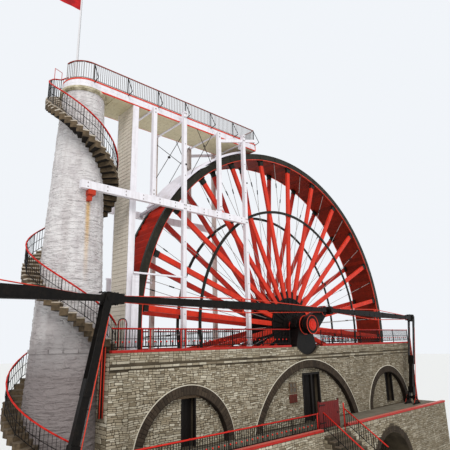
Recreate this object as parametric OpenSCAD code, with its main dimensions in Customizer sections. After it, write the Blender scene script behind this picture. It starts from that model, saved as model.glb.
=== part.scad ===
// Great pumping water wheel in its masonry wheel case, with the round water tower,
// the outside stair, the timber aqueduct and the crank, rods and rockers.
// Origin: on the ground face, straight below the middle of the axle. X runs along the
// building, the crank side faces -Y, Z is up. All sizes are real sizes in millimetres.

/* [Wheel] */
// Outer diameter of the wheel
wheel_d = 22100; // [20000:10:23000]
// Width of the wheel over its two shrouds
wheel_w = 1990; // [1900:10:2050]
// Gap between the wheel and the pit floor
wheel_gap = 350; // [250:10:600]
// Diameter of the axle
axle_d = 540; // [400:10:600]
// Length of the axle beyond the crank web at each end
axle_nose = 10; // [5:1:60]
// Spokes on each side
spoke_count = 24; // [12:1:28]
// Width of a spoke seen from the side
spoke_w = 270; // [200:5:300]
// Thickness of a spoke along the axle
spoke_t = 150; // [100:5:180]
// Radius of the iron bracing rings
ring_r = 7200; // [6000:10:8000]
// Radius of the cast hub discs
hub_r = 1700; // [1600:10:1800]
// Radial depth of the shroud rings
shroud_depth = 370; // [350:10:420]
// Thickness of a shroud plate
shroud_t = 60; // [40:5:80]
// Width of the rim flange that covers the ends of the buckets
shroud_flange_w = 190; // [150:5:220]
// Thickness of the rim flange
shroud_flange_t = 30; // [20:1:35]
// Depth of the buckets from the rim to the sole
bucket_depth = 330; // [300:5:345]
// Buckets round the wheel
bucket_count = 168; // [96:1:176]
// Thickness of the bucket and sole boards
bucket_board = 40; // [30:1:45]

/* [Crank and rods] */
// Distance from the axle to the crank pin
crank_throw = 1550; // [1300:10:1560]
// Angle of the crank above the horizontal at rest
crank_angle = 33; // [25:1:40]
// Diameter of the crank pin
crank_pin_d = 260; // [200:10:280]
// Thickness of the crank web
crank_web_t = 340; // [250:10:350]
// Gap between the wall face and the crank web
crank_gap = 100; // [60:5:200]
// Gap between the crank web and the rods
rod_gap = 225; // [150:5:300]
// Thickness of the rod timbers across the building
rod_t = 270; // [200:10:280]
// Depth of the rod timbers at mid length
rod_mid_h = 380; // [320:10:420]
// Depth of the rod timbers at their ends
rod_end_h = 230; // [200:10:260]
// Length of the main rod, pin to pin
main_rod_len = 14800; // [14600:10:15000]
// Length of the right rod, pin to pin
right_rod_len = 10600; // [10500:10:10700]
// Slope of the right rod at rest, down to the right
right_rod_slope = 1.35; // [1:0.05:1.5]
// Length of the stretch of the outer rod line
drive_rod_len = 4000; // [3500:10:4300]
// Height of the rocker foot pins above the terrace
foot_rise = 450; // [350:10:600]
// Lean of the left rocker from upright at rest
left_rocker_lean = 10.9; // [9:0.1:12]
// Lean of the right rocker from upright at rest
right_rocker_lean = 14; // [13:0.1:15]
// Thickness of each of a rocker's two cheeks
rocker_cheek_t = 110; // [80:5:130]

/* [Wheel case] */
// Height of the axle above the tops of the long walls
axle_over_wall = 1250; // [1000:10:1400]
// Thickness of the long walls
wall_t = 1050; // [1000:10:1100]
// Width of the wheel pit
pit_w = 2300; // [2250:10:2350]
// Gap between the wheel and each end of the pit
pit_end_gap = 300; // [200:10:400]
// Thickness of the end wall away from the tower
end_wall_t = 1500; // [1300:10:1700]
// Thickness of the stone pit floor
pit_floor_t = 350; // [300:10:400]
// Depth of the blind arches
arch_depth = 250; // [200:10:300]
// Width of an arch ring
arch_ring_w = 420; // [350:10:450]
// Radius of the two side arches
side_arch_r = 2800; // [2600:10:2900]
// Masonry between a side arch and the string course
side_arch_head = 860; // [700:10:1000]
// Distance of a side arch from the middle
side_arch_x = 8900; // [8700:10:9000]
// Radius of the middle arch
mid_arch_r = 5000; // [4800:10:5050]
// Masonry between the middle arch and the string course
mid_arch_head = 110; // [80:5:300]
// Height of the string course below the wall top
course_drop = 550; // [500:10:600]
// Height of the string course
course_h = 90; // [60:5:120]
// Height of the coping boards
coping_h = 110; // [80:5:140]

/* [Terrace] */
// Height of the axle above the terrace
axle_over_terrace = 5400; // [5200:10:5600]
// Width of the terrace in front of the wall
terrace_w = 2050; // [2000:10:2200]
// Length of the block below the water tower
plinth_l = 4100; // [4000:10:4200]
// Length of the terrace with a tall railing, from the tower end
terrace_rail_l = 14660; // [14000:20:15500]
// Width of the steps that lead up to the terrace
steps_w = 1980; // [1600:20:2200]
// Depth of a terrace step from front to back
step_going = 300; // [260:5:340]
// Half width of the tail race arch
culvert_r = 2100; // [1800:10:2150]
// Place of the tail race arch along the wall
culvert_x = 4950; // [4800:10:5100]
// Masonry over the crown of the tail race arch
culvert_cover = 950; // [800:10:1200]

/* [Water tower] */
// Distance of the tower axis beyond the end of the long walls
tower_out = 880; // [800:10:1000]
// Radius of the tower at its top
tower_top_r = 975; // [950:5:1000]
// Inward slope of the tower face, as a ratio of its height
tower_slope_ratio = 0.039; // [0.036:0.001:0.041]
// Height of the cornice under the deck
cornice_h = 180; // [140:10:200]

/* [Stair] */
// Height of a step
step_rise = 200; // [198:1:202]
// Angle that a step turns round the tower
step_turn_angle = 8.94; // [8.5:0.02:9.1]
// Width of the stair from the tower out
stair_w = 700; // [650:10:730]
// Height of the stone step blocks
step_block = 330; // [300:10:350]
// Height of the stair rails
rail_h = 950; // [900:10:1000]

/* [Aqueduct] */
// Depth of the deck underside below the top of the wheel
deck_drop = 110; // [50:5:130]
// Width of the aqueduct over its side boards
deck_w = 2000; // [1900:10:2050]
// Place of the wheel end of the aqueduct
deck_end_x = -2600; // [-2700:10:-2500]
// Height of the side boards
side_board_h = 440; // [400:10:460]
// Thickness of the side boards
side_board_t = 90; // [70:5:100]
// Thickness of the deck boards
deck_board_t = 60; // [50:5:70]
// Height of the deck railing over the side boards
deck_rail_h = 1000; // [900:10:1050]
// Side of a square timber post
post_s = 210; // [190:10:260]
// Gap between the side boards and the posts
post_gap = 300; // [280:5:340]
// Height of the side beams
beam_h = 360; // [300:10:380]
// Underside of the side beams above the axle
beam_rise = 5730; // [5600:10:5800]

/* [Flag] */
// Height of the flagpole
pole_h = 6400; // [6200:10:6600]
// Diameter of the flagpole at its foot
pole_d = 110; // [90:5:120]
// Length of the flag
flag_l = 1150; // [1000:10:1300]
// Height of the flag
flag_h = 800; // [700:10:900]

/* [Hidden] */

// Seating gap between pieces that meet without touching
seat = 0.3;
// Running clearance of the pins
pin_gap = 1.5;
wheel_r = wheel_d / 2;
axle_h = pit_floor_t + wheel_gap + wheel_r;
wall_h = axle_h - axle_over_wall;
terrace_h = axle_h - axle_over_terrace;
pit_l = wheel_d + 2 * pit_end_gap;
wall_x = pit_l / 2 + end_wall_t;
wall_out = pit_w / 2 + wall_t;
axle_len = 2 * (wall_out + crank_gap + crank_web_t + axle_nose);
rod_plane = wall_out + crank_gap + crank_web_t + rod_gap + rod_t / 2;
tower_x = -wall_x - tower_out;
deck_z = axle_h + wheel_r - deck_drop;
post_row = deck_w / 2 + post_gap + post_s / 2;
culvert_crown = terrace_h - culvert_cover;
course_z = wall_h - course_drop - course_h;
terrace_front = wall_out + terrace_w;
plinth_x1 = -pit_l / 2 - wall_t;
plinth_x0 = plinth_x1 - plinth_l;

// Radius of the tower face at a height above the ground
function tower_r(z) = tower_top_r + tower_slope_ratio * (deck_z - z);

// The wheel frame: children are placed round the axle
module at_axle() {
    translate([0, 0, axle_h]) children();
}

// A round or many-sided bar between two points
module bar(p, q, d, sides = 8) {
    v = q - p;
    translate(p)
        rotate([0, acos(v.z / norm(v)), atan2(v.y, v.x)])
            cylinder(h = norm(v), d = d, $fn = sides);
}

// A board or timber given by its two corners
module box(p, q) {
    translate(p) cube(q - p);
}

// Extrudes a side view (x, z) from one y to another
module side_view(y0, y1) {
    translate([0, y1, 0]) rotate([90, 0, 0]) linear_extrude(y1 - y0) children();
}

// A flat railing panel in one piece: bottom bar, balusters and a top bar
module rail_panel(run, climb, low, high, pitch, baluster = 22, thick = 22, flat = 40) {
    n = max(1, round(run / pitch));
    s = climb / run;
    outer = [[0, low], [run, low + climb], [run, high + climb], [0, high]];
    holes = [
        for (i = [0:n - 1])
            let (a = i * run / n + baluster / 2, b = (i + 1) * run / n - baluster / 2)
                each [[a, s * a + low + flat], [b, s * b + low + flat],
                      [b, s * b + high - flat], [a, s * a + high - flat]]
    ];
    paths = [[0, 1, 2, 3], for (i = [0:n - 1]) [for (k = [0:3]) 4 + 4 * i + k]];
    translate([0, thick / 2, 0])
        rotate([90, 0, 0])
            linear_extrude(thick) polygon(concat(outer, holes), paths);
}

// Outline of a round arch that stands on the terrace, seen from the front
module arch_outline(cx, cz, r) {
    intersection() {
        translate([cx, cz]) circle(r = r, $fn = 360);
        translate([cx - r, terrace_h]) square([2 * r, r * 2]);
    }
}

side_arch_z = course_z - side_arch_head - side_arch_r;
mid_arch_z = course_z - mid_arch_head - mid_arch_r;
arches = [
    [-side_arch_x, side_arch_z, side_arch_r],
    [0, mid_arch_z, mid_arch_r],
    [side_arch_x, side_arch_z, side_arch_r]
];
notch_r = 1300;
notch_up = 830;
notch_z = wall_h + notch_up;
slot_depth = 600;
// Left edge, width, sill above the terrace and height of the openings below the arches
slots = [
    [-side_arch_x - 150, 750, 0, 2100],
    [-400, 1520, 0, 2600],
    [side_arch_x + 50, 900, 200, 2100]
];

// Round-bottomed notch for the bearing in the top of a long wall
module bearing_notch(grow = 0) {
    translate([0, notch_z]) circle(r = notch_r + grow, $fn = 72);
}

course_out = 60;
ring_out = 30;

module long_wall() {
    difference() {
        side_view(-wall_out, -pit_w / 2)
            difference() {
                translate([-wall_x, 0]) square([2 * wall_x, wall_h]);
                bearing_notch();
                translate([culvert_x, culvert_crown - culvert_r]) circle(r = culvert_r, $fn = 72);
                translate([culvert_x - culvert_r, 0])
                    square([2 * culvert_r, culvert_crown - culvert_r]);
            }
        for (a = arches)
            side_view(-wall_out - 1, -wall_out + arch_depth)
                arch_outline(a[0], a[1], a[2]);
        for (s = slots)
            box([s[0], -wall_out, terrace_h + s[2]],
                [s[0] + s[1], -wall_out + slot_depth, terrace_h + s[2] + s[3]]);
        tower_cut();
    }
    for (x = [-wall_x, notch_r])
        box([x, -wall_out - course_out, course_z],
            [x < 0 ? -notch_r : wall_x - guide_in - seat, -wall_out - seat, course_z + course_h]);
}

// Room for the tower and its seat in the masonry beside it
module tower_cut(grow = seat) {
    translate([tower_x, 0, terrace_h])
        cylinder(h = deck_z - terrace_h, r1 = tower_r(terrace_h) + grow, r2 = tower_top_r + grow,
                 $fn = 96);
}

module front_wall() {
    color("tan") long_wall();
}

module arch_rings() {
    color([0.2, 0.16, 0.13])
        for (a = arches)
            side_view(-wall_out - ring_out, -wall_out + arch_depth - seat)
                difference() {
                    arch_outline(a[0], a[1], a[2] - seat);
                    arch_outline(a[0], a[1], a[2] - arch_ring_w);
                }
}

module back_wall() {
    color("tan")
        difference() {
            side_view(pit_w / 2, wall_out)
                difference() {
                    translate([-wall_x, 0]) square([2 * wall_x, wall_h]);
                    bearing_notch();
                }
            for (a = arches)
                side_view(wall_out - arch_depth, wall_out + 1)
                    arch_outline(a[0], a[1], a[2] - arch_ring_w);
            tower_cut();
        }
}

module left_end_wall() {
    color("tan")
        difference() {
            box([-pit_l / 2 - wall_t, -pit_w / 2, 0], [-pit_l / 2, pit_w / 2, wall_h]);
            tower_cut();
        }
}

module right_end_wall() {
    color("tan") box([pit_l / 2, -pit_w / 2, 0], [wall_x, pit_w / 2, wall_h]);
}

module pit_floor() {
    color("dimgray") box([-pit_l / 2, -pit_w / 2, 0], [pit_l / 2, pit_w / 2, pit_floor_t]);
}

module terrace() {
    color("darkkhaki")
        side_view(-terrace_front, -wall_out)
            difference() {
                translate([plinth_x0, 0]) square([wall_x - plinth_x0, terrace_h]);
                translate([culvert_x, culvert_crown - culvert_r]) circle(r = culvert_r, $fn = 72);
                translate([culvert_x - culvert_r, 0])
                    square([2 * culvert_r, culvert_crown - culvert_r]);
            }
}

plinth_back = 400;

module tower_plinth() {
    color("darkkhaki") {
        box([plinth_x0, -wall_out, 0], [-wall_x, wall_out + plinth_back, terrace_h]);
        box([-wall_x, -pit_w / 2, 0], [plinth_x1, pit_w / 2, terrace_h]);
    }
}

coping_half = 110;
coping_over = 30;
rail_gap_x = 1500;
wall_rail_y = wall_out - 120;

module wall_coping() {
    color("firebrick")
        for (side = [-1, 1])
            for (x = [-wall_x + 100, rail_gap_x])
                translate([0, side * wall_rail_y, 0])
                    box([x, -coping_half, wall_h],
                        [x < 0 ? -rail_gap_x : wall_x + coping_over, coping_half,
                         wall_h + coping_h]);
}

steps_x0 = plinth_x0 + terrace_rail_l;
steps_x1 = steps_x0 + steps_w;
// Where the low coping boards of the terrace begin, past the head of its steps
kerb_x0 = steps_x1 + 160;
terrace_rail_y = terrace_front - 300;
terrace_rail_h = rail_h - 110;

// One straight run of railing with its posts and round top rail
module straight_railing(x0, x1, base, height, pitch, bay_goal = 2200) {
    n = max(1, round((x1 - x0) / bay_goal));
    bay = (x1 - x0) / n;
    for (i = [0:n - 1])
        translate([x0 + i * bay, 0, base]) rail_panel(bay, 0, 90, height - 20, pitch);
    for (i = [0:n])
        box([x0 + i * bay - 22, -22, base], [x0 + i * bay + 22, 22, base + height - 20]);
    bar([x0 - 20, 0, base + height - 20], [x1 + 20, 0, base + height - 20], 55);
}

module front_railing() {
    color("red")
        translate([0, -wall_rail_y, 0]) {
            straight_railing(-wall_x + 140, -rail_gap_x, wall_h + coping_h, rail_h - 60, 130);
            straight_railing(rail_gap_x, wall_x - 40, wall_h + coping_h, rail_h - 60, 130);
        }
}

module back_railing() {
    color("red")
        translate([0, wall_rail_y, 0]) {
            straight_railing(-wall_x + 140, -rail_gap_x, wall_h + coping_h, rail_h - 60, 130);
            straight_railing(rail_gap_x, wall_x - 40, wall_h + coping_h, rail_h - 60, 130);
        }
}

module terrace_railing() {
    color("red")
        translate([0, -terrace_rail_y, 0])
            straight_railing(plinth_x0 + 100, steps_x0, terrace_h, terrace_rail_h, 130);
}

terrace_step_count = 8;

// The head of the flight that leads from the yard up to the terrace
module terrace_steps() {
    color("sienna")
        for (i = [1:terrace_step_count])
            box([steps_x0, -terrace_front - i * step_going, 0],
                [steps_x1, -terrace_front - (i - 1) * step_going - seat,
                 terrace_h - i * step_rise]);
}

// Sloping railings on both sides of the terrace steps
module terrace_step_rails() {
    run = terrace_step_count * step_going - 30;
    fall = terrace_step_count * step_rise - 20;
    bays = 3;
    color("red")
        for (x = [steps_x0 + 40, steps_x1 - 40])
            translate([x, -terrace_front - run - 30, terrace_h - fall - 20])
                rotate([0, 0, 90])
                    for (b = [0:bays - 1])
                        translate([b * run / bays, 0, b * fall / bays]) {
                            rail_panel(run / bays, fall / bays, 220, rail_h, 130);
                            bar([0, 0, 0], [0, 0, rail_h], 44);
                            bar([0, 0, rail_h - 20], [run / bays, 0,
                                rail_h - 20 + fall / bays], 55);
                            if (b == bays - 1)
                                bar([run / bays, 0, fall / bays],
                                    [run / bays, 0, rail_h + fall / bays], 44);
                        }
}

gate_post = 70;
gate_h = 1400;

// Boarded gate at the head of the terrace steps, hung between two posts
module terrace_gate() {
    color("darkred")
        translate([steps_x0 + 90, -terrace_rail_y, terrace_h]) {
            w = steps_w - 180;
            for (x = [0, w - gate_post])
                box([x, -gate_post / 2, 0], [x + gate_post, gate_post / 2, gate_h]);
            box([gate_post - 1, -20, 90], [w - gate_post + 1, 20, gate_h - 60]);
        }
}

module terrace_coping() {
    color("firebrick")
        for (ends = [[plinth_x0, steps_x0 - 10], [kerb_x0, wall_x + coping_over]])
            box([ends[0], -terrace_front - coping_over, terrace_h],
                [ends[1], -terrace_front + 2 * coping_half, terrace_h + coping_h]);
}

module tower() {
    color("white")
        translate([tower_x, 0, terrace_h])
            cylinder(h = deck_z - cornice_h - terrace_h, r1 = tower_r(terrace_h),
                     r2 = tower_r(deck_z - cornice_h), $fn = 96);
}

module tower_cornice() {
    color("darkkhaki")
        translate([tower_x, 0, deck_z - cornice_h])
            rotate_extrude($fn = 96)
                polygon([[0, 0], [tower_top_r + 60, 0], [deck_head_r, cornice_h * 0.4],
                         [deck_head_r, cornice_h], [0, cornice_h]]);
}

// Where the stair arrives at the deck, and how its steps are counted back from there
arrival_angle = 141.6;
deck_floor = deck_z + deck_board_t;
climb_steps = floor((deck_floor - wall_h) / step_rise);
lower_steps = floor((wall_h - terrace_h) / step_rise) + 1;
half_climb = floor(climb_steps / 2);
first_step_angle = arrival_angle + (climb_steps - 1) * step_turn_angle - 720;
last_lower_angle = 68;

function step_angle(i) = (i >= 0 ? first_step_angle : last_lower_angle) - i * step_turn_angle;
function step_top(i) = wall_h + (i + 1) * step_rise;

// One wedge-shaped step block beside the tower
module step_wedge(a, turn, top, h) {
    low = top - h;
    face = top > deck_z - cornice_h ? deck_head_r : tower_r(low);
    inner = (face + seat) / cos(turn / 2);
    outer = tower_r(low) + stair_w;
    joint = seat / inner * 90 / PI;
    translate([tower_x, 0, low])
        linear_extrude(h)
            polygon([for (p = [[inner, -joint], [outer, -joint],
                               [outer, joint - turn], [inner, joint - turn]])
                [p[0] * cos(a + p[1]), p[0] * sin(a + p[1])]]);
}

module flight(from, to) {
    for (i = [from:to])
        step_wedge(step_angle(i), step_turn_angle, step_top(i),
                   min(step_block, step_top(i) - (i >= 0 ? wall_h : terrace_h)));
}

stair_rail_in = 60;

// Flat panels of rail from post to post, three steps to a bay, along the outer edge
module stair_rail(from, to, per = 3) {
    bays = ceil((to - from + 1) / per);
    for (b = [0:bays - 1]) {
        i = from + b * per;
        j = min(i + per, to + 1);
        a = step_angle(from) - (i - from) * step_turn_angle;
        c = step_angle(from) - (j - from) * step_turn_angle;
        za = step_top(from) + (i - from) * step_rise;
        zc = step_top(from) + (j - from) * step_rise;
        ra = tower_r(za) + stair_w - stair_rail_in;
        rc = tower_r(zc) + stair_w - stair_rail_in;
        p = [tower_x + ra * cos(a), ra * sin(a), za];
        q = [tower_x + rc * cos(c), rc * sin(c), zc];
        d = q - p;
        run = norm([d.x, d.y]);
        translate(p)
            rotate([0, 0, atan2(d.y, d.x)])
                rail_panel(run, zc - za, 60, rail_h, 140, 16, 16, 30);
        bar(p + [0, 0, rail_h], q + [0, 0, rail_h], 45);
        bar(p, p + [0, 0, rail_h], 40);
        if (b == bays - 1) bar(q, q + [0, 0, rail_h], 40);
    }
}

module lower_flight() {
    color("sienna") flight(-lower_steps, -1);
}

module middle_flight() {
    color("sienna") flight(0, half_climb - 1);
}

landing_turn = 22;
landing_start = step_angle(climb_steps);
landing_z = step_top(climb_steps - 1);

// The last steps, and the landing stone beside the opening in the side boards
module upper_flight() {
    color("sienna") {
        flight(half_climb, climb_steps - 1);
        step_wedge(landing_start, landing_turn, landing_z, step_block);
    }
}

module lower_stair_rail() {
    color("red") stair_rail(-lower_steps, -1);
}

// Guard of the landing: it rises from the last post of the stair, then turns in to the deck
module landing_guard() {
    r = tower_r(landing_z + step_rise) + stair_w - stair_rail_in;
    lift = 300;
    top = rail_h + step_rise;
    function at(r, a) = [tower_x + r * cos(a), r * sin(a), landing_z];
    p = at(r, landing_start);
    q = at(r, landing_start - landing_turn + 2);
    e = at(deck_head_r + 40, landing_start - landing_turn + 2);
    translate(p)
        rotate([0, 0, atan2(q.y - p.y, q.x - p.x)])
            rail_panel(norm(q - p), lift, 60, top, 140, 16, 16, 30);
    translate(q)
        rotate([0, 0, atan2(e.y - q.y, e.x - q.x)])
            rail_panel(norm(e - q), 0, 60, top + lift, 140, 16, 16, 30);
    bar(p + [0, 0, top], q + [0, 0, top + lift], 45);
    bar(q + [0, 0, top + lift], e + [0, 0, top + lift], 45);
    bar(p, p + [0, 0, top], 40);
    bar(q, q + [0, 0, top + lift], 40);
    bar(e, e + [0, 0, top + lift], 40);
}

module upper_stair_rail() {
    color("red") {
        stair_rail(0, climb_steps - 1);
        landing_guard();
    }
}

cornice_out = 140;
deck_head_r = tower_top_r + cornice_out;

// Angles of the opening in the side boards where the stair arrives
landing_angle0 = arrival_angle - 25.6;
landing_angle1 = arrival_angle + 10.4;
// The deck railing begins past the opening, where the stair has passed below the deck
rail_open_angle = 45;

// The aqueduct seen from above, with its round end over the tower
module deck_outline(half_w, end_x) {
    translate([tower_x, 0]) circle(r = half_w, $fn = 120);
    translate([tower_x, -half_w]) square([end_x - tower_x, 2 * half_w]);
}

module deck() {
    color("darkkhaki")
        translate([0, 0, deck_z])
            linear_extrude(deck_board_t)
                deck_outline(deck_w / 2 - side_board_t - seat, deck_end_x);
}

module side_boards() {
    color("white")
        translate([0, 0, deck_z]) {
            linear_extrude(side_board_h)
                difference() {
                    translate([tower_x, 0]) circle(r = deck_w / 2, $fn = 120);
                    translate([tower_x, 0]) circle(r = deck_w / 2 - side_board_t, $fn = 120);
                    translate([tower_x - seat, -deck_w]) square(2 * deck_w);
                    translate([tower_x, 0])
                        polygon([[0, 0], for (a = [landing_angle0, landing_angle1])
                            [2 * deck_w * cos(a), 2 * deck_w * sin(a)]]);
                }
            for (y = [-deck_w / 2, deck_w / 2 - side_board_t])
                box([tower_x, y, 0], [deck_end_x, y + side_board_t, side_board_h]);
        }
}

// Rail panels round the tower end, as chords between posts
module round_railing(a0, a1, count) {
    r = (deck_w - side_board_t) / 2;
    base = deck_z + side_board_h;
    top = deck_rail_h - 20;
    for (i = [0:count - 1]) {
        a = a0 + i * (a1 - a0) / count;
        c = a0 + (i + 1) * (a1 - a0) / count;
        p = [tower_x + r * cos(a), r * sin(a), base];
        q = [tower_x + r * cos(c), r * sin(c), base];
        translate(p)
            rotate([0, 0, atan2(q.y - p.y, q.x - p.x)])
                rail_panel(norm(q - p), 0, 90, top, 110);
        bar(p + [0, 0, top], q + [0, 0, top], 55);
        bar(p, p + [0, 0, top], 44);
        if (i == count - 1) bar(q, q + [0, 0, top], 44);
    }
}

module deck_railing() {
    color("black") {
        for (side = [-1, 1])
            translate([0, side * (deck_w - side_board_t) / 2, 0])
                straight_railing(tower_x + 45, deck_end_x - 60, deck_z + side_board_h,
                                 deck_rail_h, 110, 1850);
        round_railing(90, landing_angle0, 1);
        round_railing(arrival_angle + rail_open_angle, 270, 3);
    }
}

module deck_bearers() {
    color("white")
        for (x = [short_post_x[0], tall_post_x[0], short_post_x[1]])
            box([x - post_s / 2, -post_row + post_s / 2 + seat, deck_z - bearer_h],
                [x + post_s / 2, post_row - post_s / 2 - seat, deck_z - seat]);
}

screen_t = 300;
screen_gap = 150;
screen_x = wheel_r + screen_gap + screen_t;

module drop_screen() {
    color("white")
        box([-screen_x, -deck_w / 2, wall_h], [-screen_x + screen_t, deck_w / 4, deck_z - seat]);
}

wing_t = 100;
wing_l = 350;
wing_rise = 2350;

module wheel_screens() {
    color("white")
        for (side = [-1, 1])
            translate([0, side * (pit_w / 2 + wing_t * 0.6), 0])
                box([-screen_x + screen_t + seat, -wing_t / 2, wall_h],
                    [-screen_x + screen_t + wing_l, wing_t / 2, axle_h + wing_rise]);
}

launder_gap = 80;
launder_h = 500;
launder_t = 60;
launder_cleat = 240;
launder_r = wheel_r + launder_gap;
// The head of the launder stops just below the deck
launder_angle0 = 180 - asin((deck_z - axle_h - 10) / (launder_r + launder_h));
launder_angle1 = 146;

// Part of a ring between two angles, in short straight lengths
module ring_part(r0, r1, a0, a1, n = 18) {
    function at(r, i) = let (a = a0 + i * (a1 - a0) / n) [r * cos(a), r * sin(a)];
    polygon([for (i = [0:n]) at(r1, i), for (i = [n:-1:0]) at(r0, i)]);
}

module apron_launder() {
    color("white")
        at_axle() {
            side_view(-deck_w / 2 + launder_t, deck_w / 2 - launder_t)
                ring_part(launder_r, launder_r + launder_t, launder_angle0, launder_angle1);
            for (side = [-1, 1])
                translate([0, side * (deck_w / 2 - launder_t / 2), 0])
                    side_view(-launder_t / 2, launder_t / 2)
                        ring_part(launder_r, launder_r + launder_h, launder_angle0,
                                  launder_angle1);
            for (side = [-1, 1])
                for (x = tall_post_x)
                    let (z = sqrt(pow(launder_r + launder_h / 2, 2) - x * x),
                         y0 = deck_w / 2 - 1, y1 = post_row - post_s / 2 - seat)
                        box([x - launder_cleat / 2, side > 0 ? y0 : -y1, z - launder_cleat / 2],
                            [x + launder_cleat / 2, side > 0 ? y1 : -y0, z + launder_cleat / 2]);
        }
}

// Post places, measured from the tower side of the wheel
tall_post_x = [2470 - wheel_r, 6950 - wheel_r];
short_post_x = [550 - wheel_r, 4950 - wheel_r];
beam_x0 = tower_x - 470;
beam_z = axle_h + beam_rise;
bearer_h = 250;

module post_row_side(side) {
    for (x = tall_post_x)
        translate([x, side * post_row, 0])
            box([-post_s / 2, -post_s / 2, wall_h], [post_s / 2, post_s / 2, deck_z + side_board_h]);
    for (x = short_post_x)
        translate([x, side * post_row, 0])
            box([-post_s / 2, -post_s / 2, beam_z + beam_h], [post_s / 2, post_s / 2, deck_z]);
}

module front_posts() {
    color("white") post_row_side(-1);
}

module back_posts() {
    color("white") post_row_side(1);
}

module side_beams() {
    color("white")
        for (side = [-1, 1])
            difference() {
                translate([0, side * post_row, beam_z])
                    box([side < 0 ? beam_x0 : -screen_x, -post_s / 2, 0],
                        [tall_post_x[1] - post_s / 2 - seat, post_s / 2, beam_h]);
                translate([tall_post_x[0], side * post_row, beam_z + beam_h / 2])
                    cube([post_s + 2 * seat, post_s * 2, beam_h * 2], center = true);
                tower_cut();
            }
}

bracket_w = 300;
bracket_h = 510;

// Iron bracket on the tower below the end of the front beam
module beam_bracket() {
    x0 = beam_x0 + 180;
    w = bracket_w / 3;
    h = bracket_h / 2;
    color("firebrick")
        difference() {
            side_view(-post_row - post_s / 2, -tower_top_r)
                polygon([[x0, beam_z - seat], [x0 + 3 * w, beam_z - seat],
                         [x0 + 3 * w, beam_z - h / 2], [x0 + 2 * w, beam_z - h],
                         [x0 + 2 * w, beam_z - 2 * h], [x0, beam_z - 2 * h]]);
            tower_cut(2);
        }
}

tie_rod_d = 35;
tie_rod_drop = 2700;

module tie_rods() {
    reach = post_row - post_s / 2 - seat;
    climb = tie_rod_drop - bearer_h - 50;
    middle = deck_z - tie_rod_drop + climb / 2;
    color("black")
        for (s = [-1, 1])
            translate([tall_post_x[0] + s * 40, 0, middle])
                intersection() {
                    bar([0, -s * reach * 1.1, -climb * 0.55], [0, s * reach * 1.1, climb * 0.55],
                        tie_rod_d);
                    cube([post_s, 2 * reach, 2 * climb], center = true);
                }
}

bearing_t = 700;
bearing_y = wall_out - 100 - bearing_t / 2;
bearing_r = 560;
bearing_foot = 950;

module axle_bearings() {
    color([0.15, 0.15, 0.15])
        for (side = [-1, 1])
            translate([0, side * bearing_y, 0])
                side_view(-bearing_t / 2, bearing_t / 2)
                    difference() {
                        union() {
                            intersection() {
                                bearing_notch(-seat);
                                translate([-notch_r, 0]) square([2 * notch_r, wall_h]);
                            }
                            polygon([[-bearing_foot, wall_h], [bearing_foot, wall_h],
                                     [bearing_r, axle_h], [-bearing_r, axle_h]]);
                            translate([0, axle_h]) circle(r = bearing_r, $fn = 72);
                        }
                        translate([0, axle_h]) circle(d = axle_d + 2 * pin_gap, $fn = 72);
                    }
}

pole_at = [tower_x - 170, 800];
pole_top_d = pole_d * 0.6;
flag_low = pole_h - flag_h - 120;

module flagpole() {
    color("white")
        translate([pole_at.x, pole_at.y, deck_floor])
            cylinder(h = pole_h, d1 = pole_d, d2 = pole_top_d, $fn = 24);
}

module flag() {
    hoist = (pole_d + (pole_top_d - pole_d) * flag_low / pole_h) / 2 + seat;
    color("red")
        translate([pole_at.x - hoist - flag_l, pole_at.y - 10, deck_floor + flag_low])
            cube([flag_l, 20, flag_h]);
}

// The pins of both rockers stand at one height over the terrace, so their length follows
foot_z = terrace_h + foot_rise;
left_top = [crank_throw * cos(crank_angle) - main_rod_len,
            axle_h + crank_throw * sin(crank_angle)];
right_top = [crank_throw * cos(crank_angle) + right_rod_len * cos(right_rod_slope),
             axle_h + crank_throw * sin(crank_angle) - right_rod_len * sin(right_rod_slope)];
left_rocker_len = (left_top.y - foot_z) / cos(left_rocker_lean);
right_rocker_len = (right_top.y - foot_z) / cos(right_rocker_lean);
left_foot = [left_top.x - left_rocker_len * sin(left_rocker_lean), foot_z];
right_foot = [right_top.x - right_rocker_len * sin(right_rocker_lean), foot_z];
rocker_gap = rod_t / 2 + 10;
rocker_half = rocker_gap + rocker_cheek_t;
stand_plate_t = 60;
stand_half = 450;
stand_head_r = 160;
foot_pin_d = 160;
guide_w = 110;
guide_in = 160;
guide_d = 120;
guide_rise = 350;

module guide_post(x) {
    box([x, -wall_out - guide_d, terrace_h], [x + guide_w, -wall_out - seat, wall_h + guide_rise]);
}

module left_guide_post() {
    color([0.12, 0.1, 0.1]) guide_post(-wall_x - 150);
}

module right_guide_post() {
    color([0.12, 0.1, 0.1]) guide_post(wall_x - guide_in);
}

// A pair of cheeks on a foot, with the pin that the rocker turns on
module rocker_stand(foot) {
    inner = rocker_half + pin_gap;
    outer = inner + stand_plate_t;
    for (y = [-rod_plane - outer, -rod_plane + inner])
        side_view(y, y + stand_plate_t)
            union() {
                polygon([[foot.x - stand_half, terrace_h], [foot.x + stand_half, terrace_h],
                         [foot.x + stand_head_r, foot.y], [foot.x - stand_head_r, foot.y]]);
                translate(foot) circle(r = stand_head_r, $fn = 48);
            }
    side_view(-rod_plane - outer, -rod_plane + outer)
        translate(foot) circle(d = foot_pin_d, $fn = 48);
}

module left_rocker_stand() {
    color([0.15, 0.15, 0.15]) rocker_stand(left_foot);
}

module right_rocker_stand() {
    color([0.15, 0.15, 0.15]) rocker_stand(right_foot);
}

hub_y = wheel_w / 2 - shroud_t - spoke_t / 2;

module axle() {
    color("firebrick")
        at_axle()
            rotate([90, 0, 0]) cylinder(h = axle_len, d = axle_d, center = true, $fn = 72);
}

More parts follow.
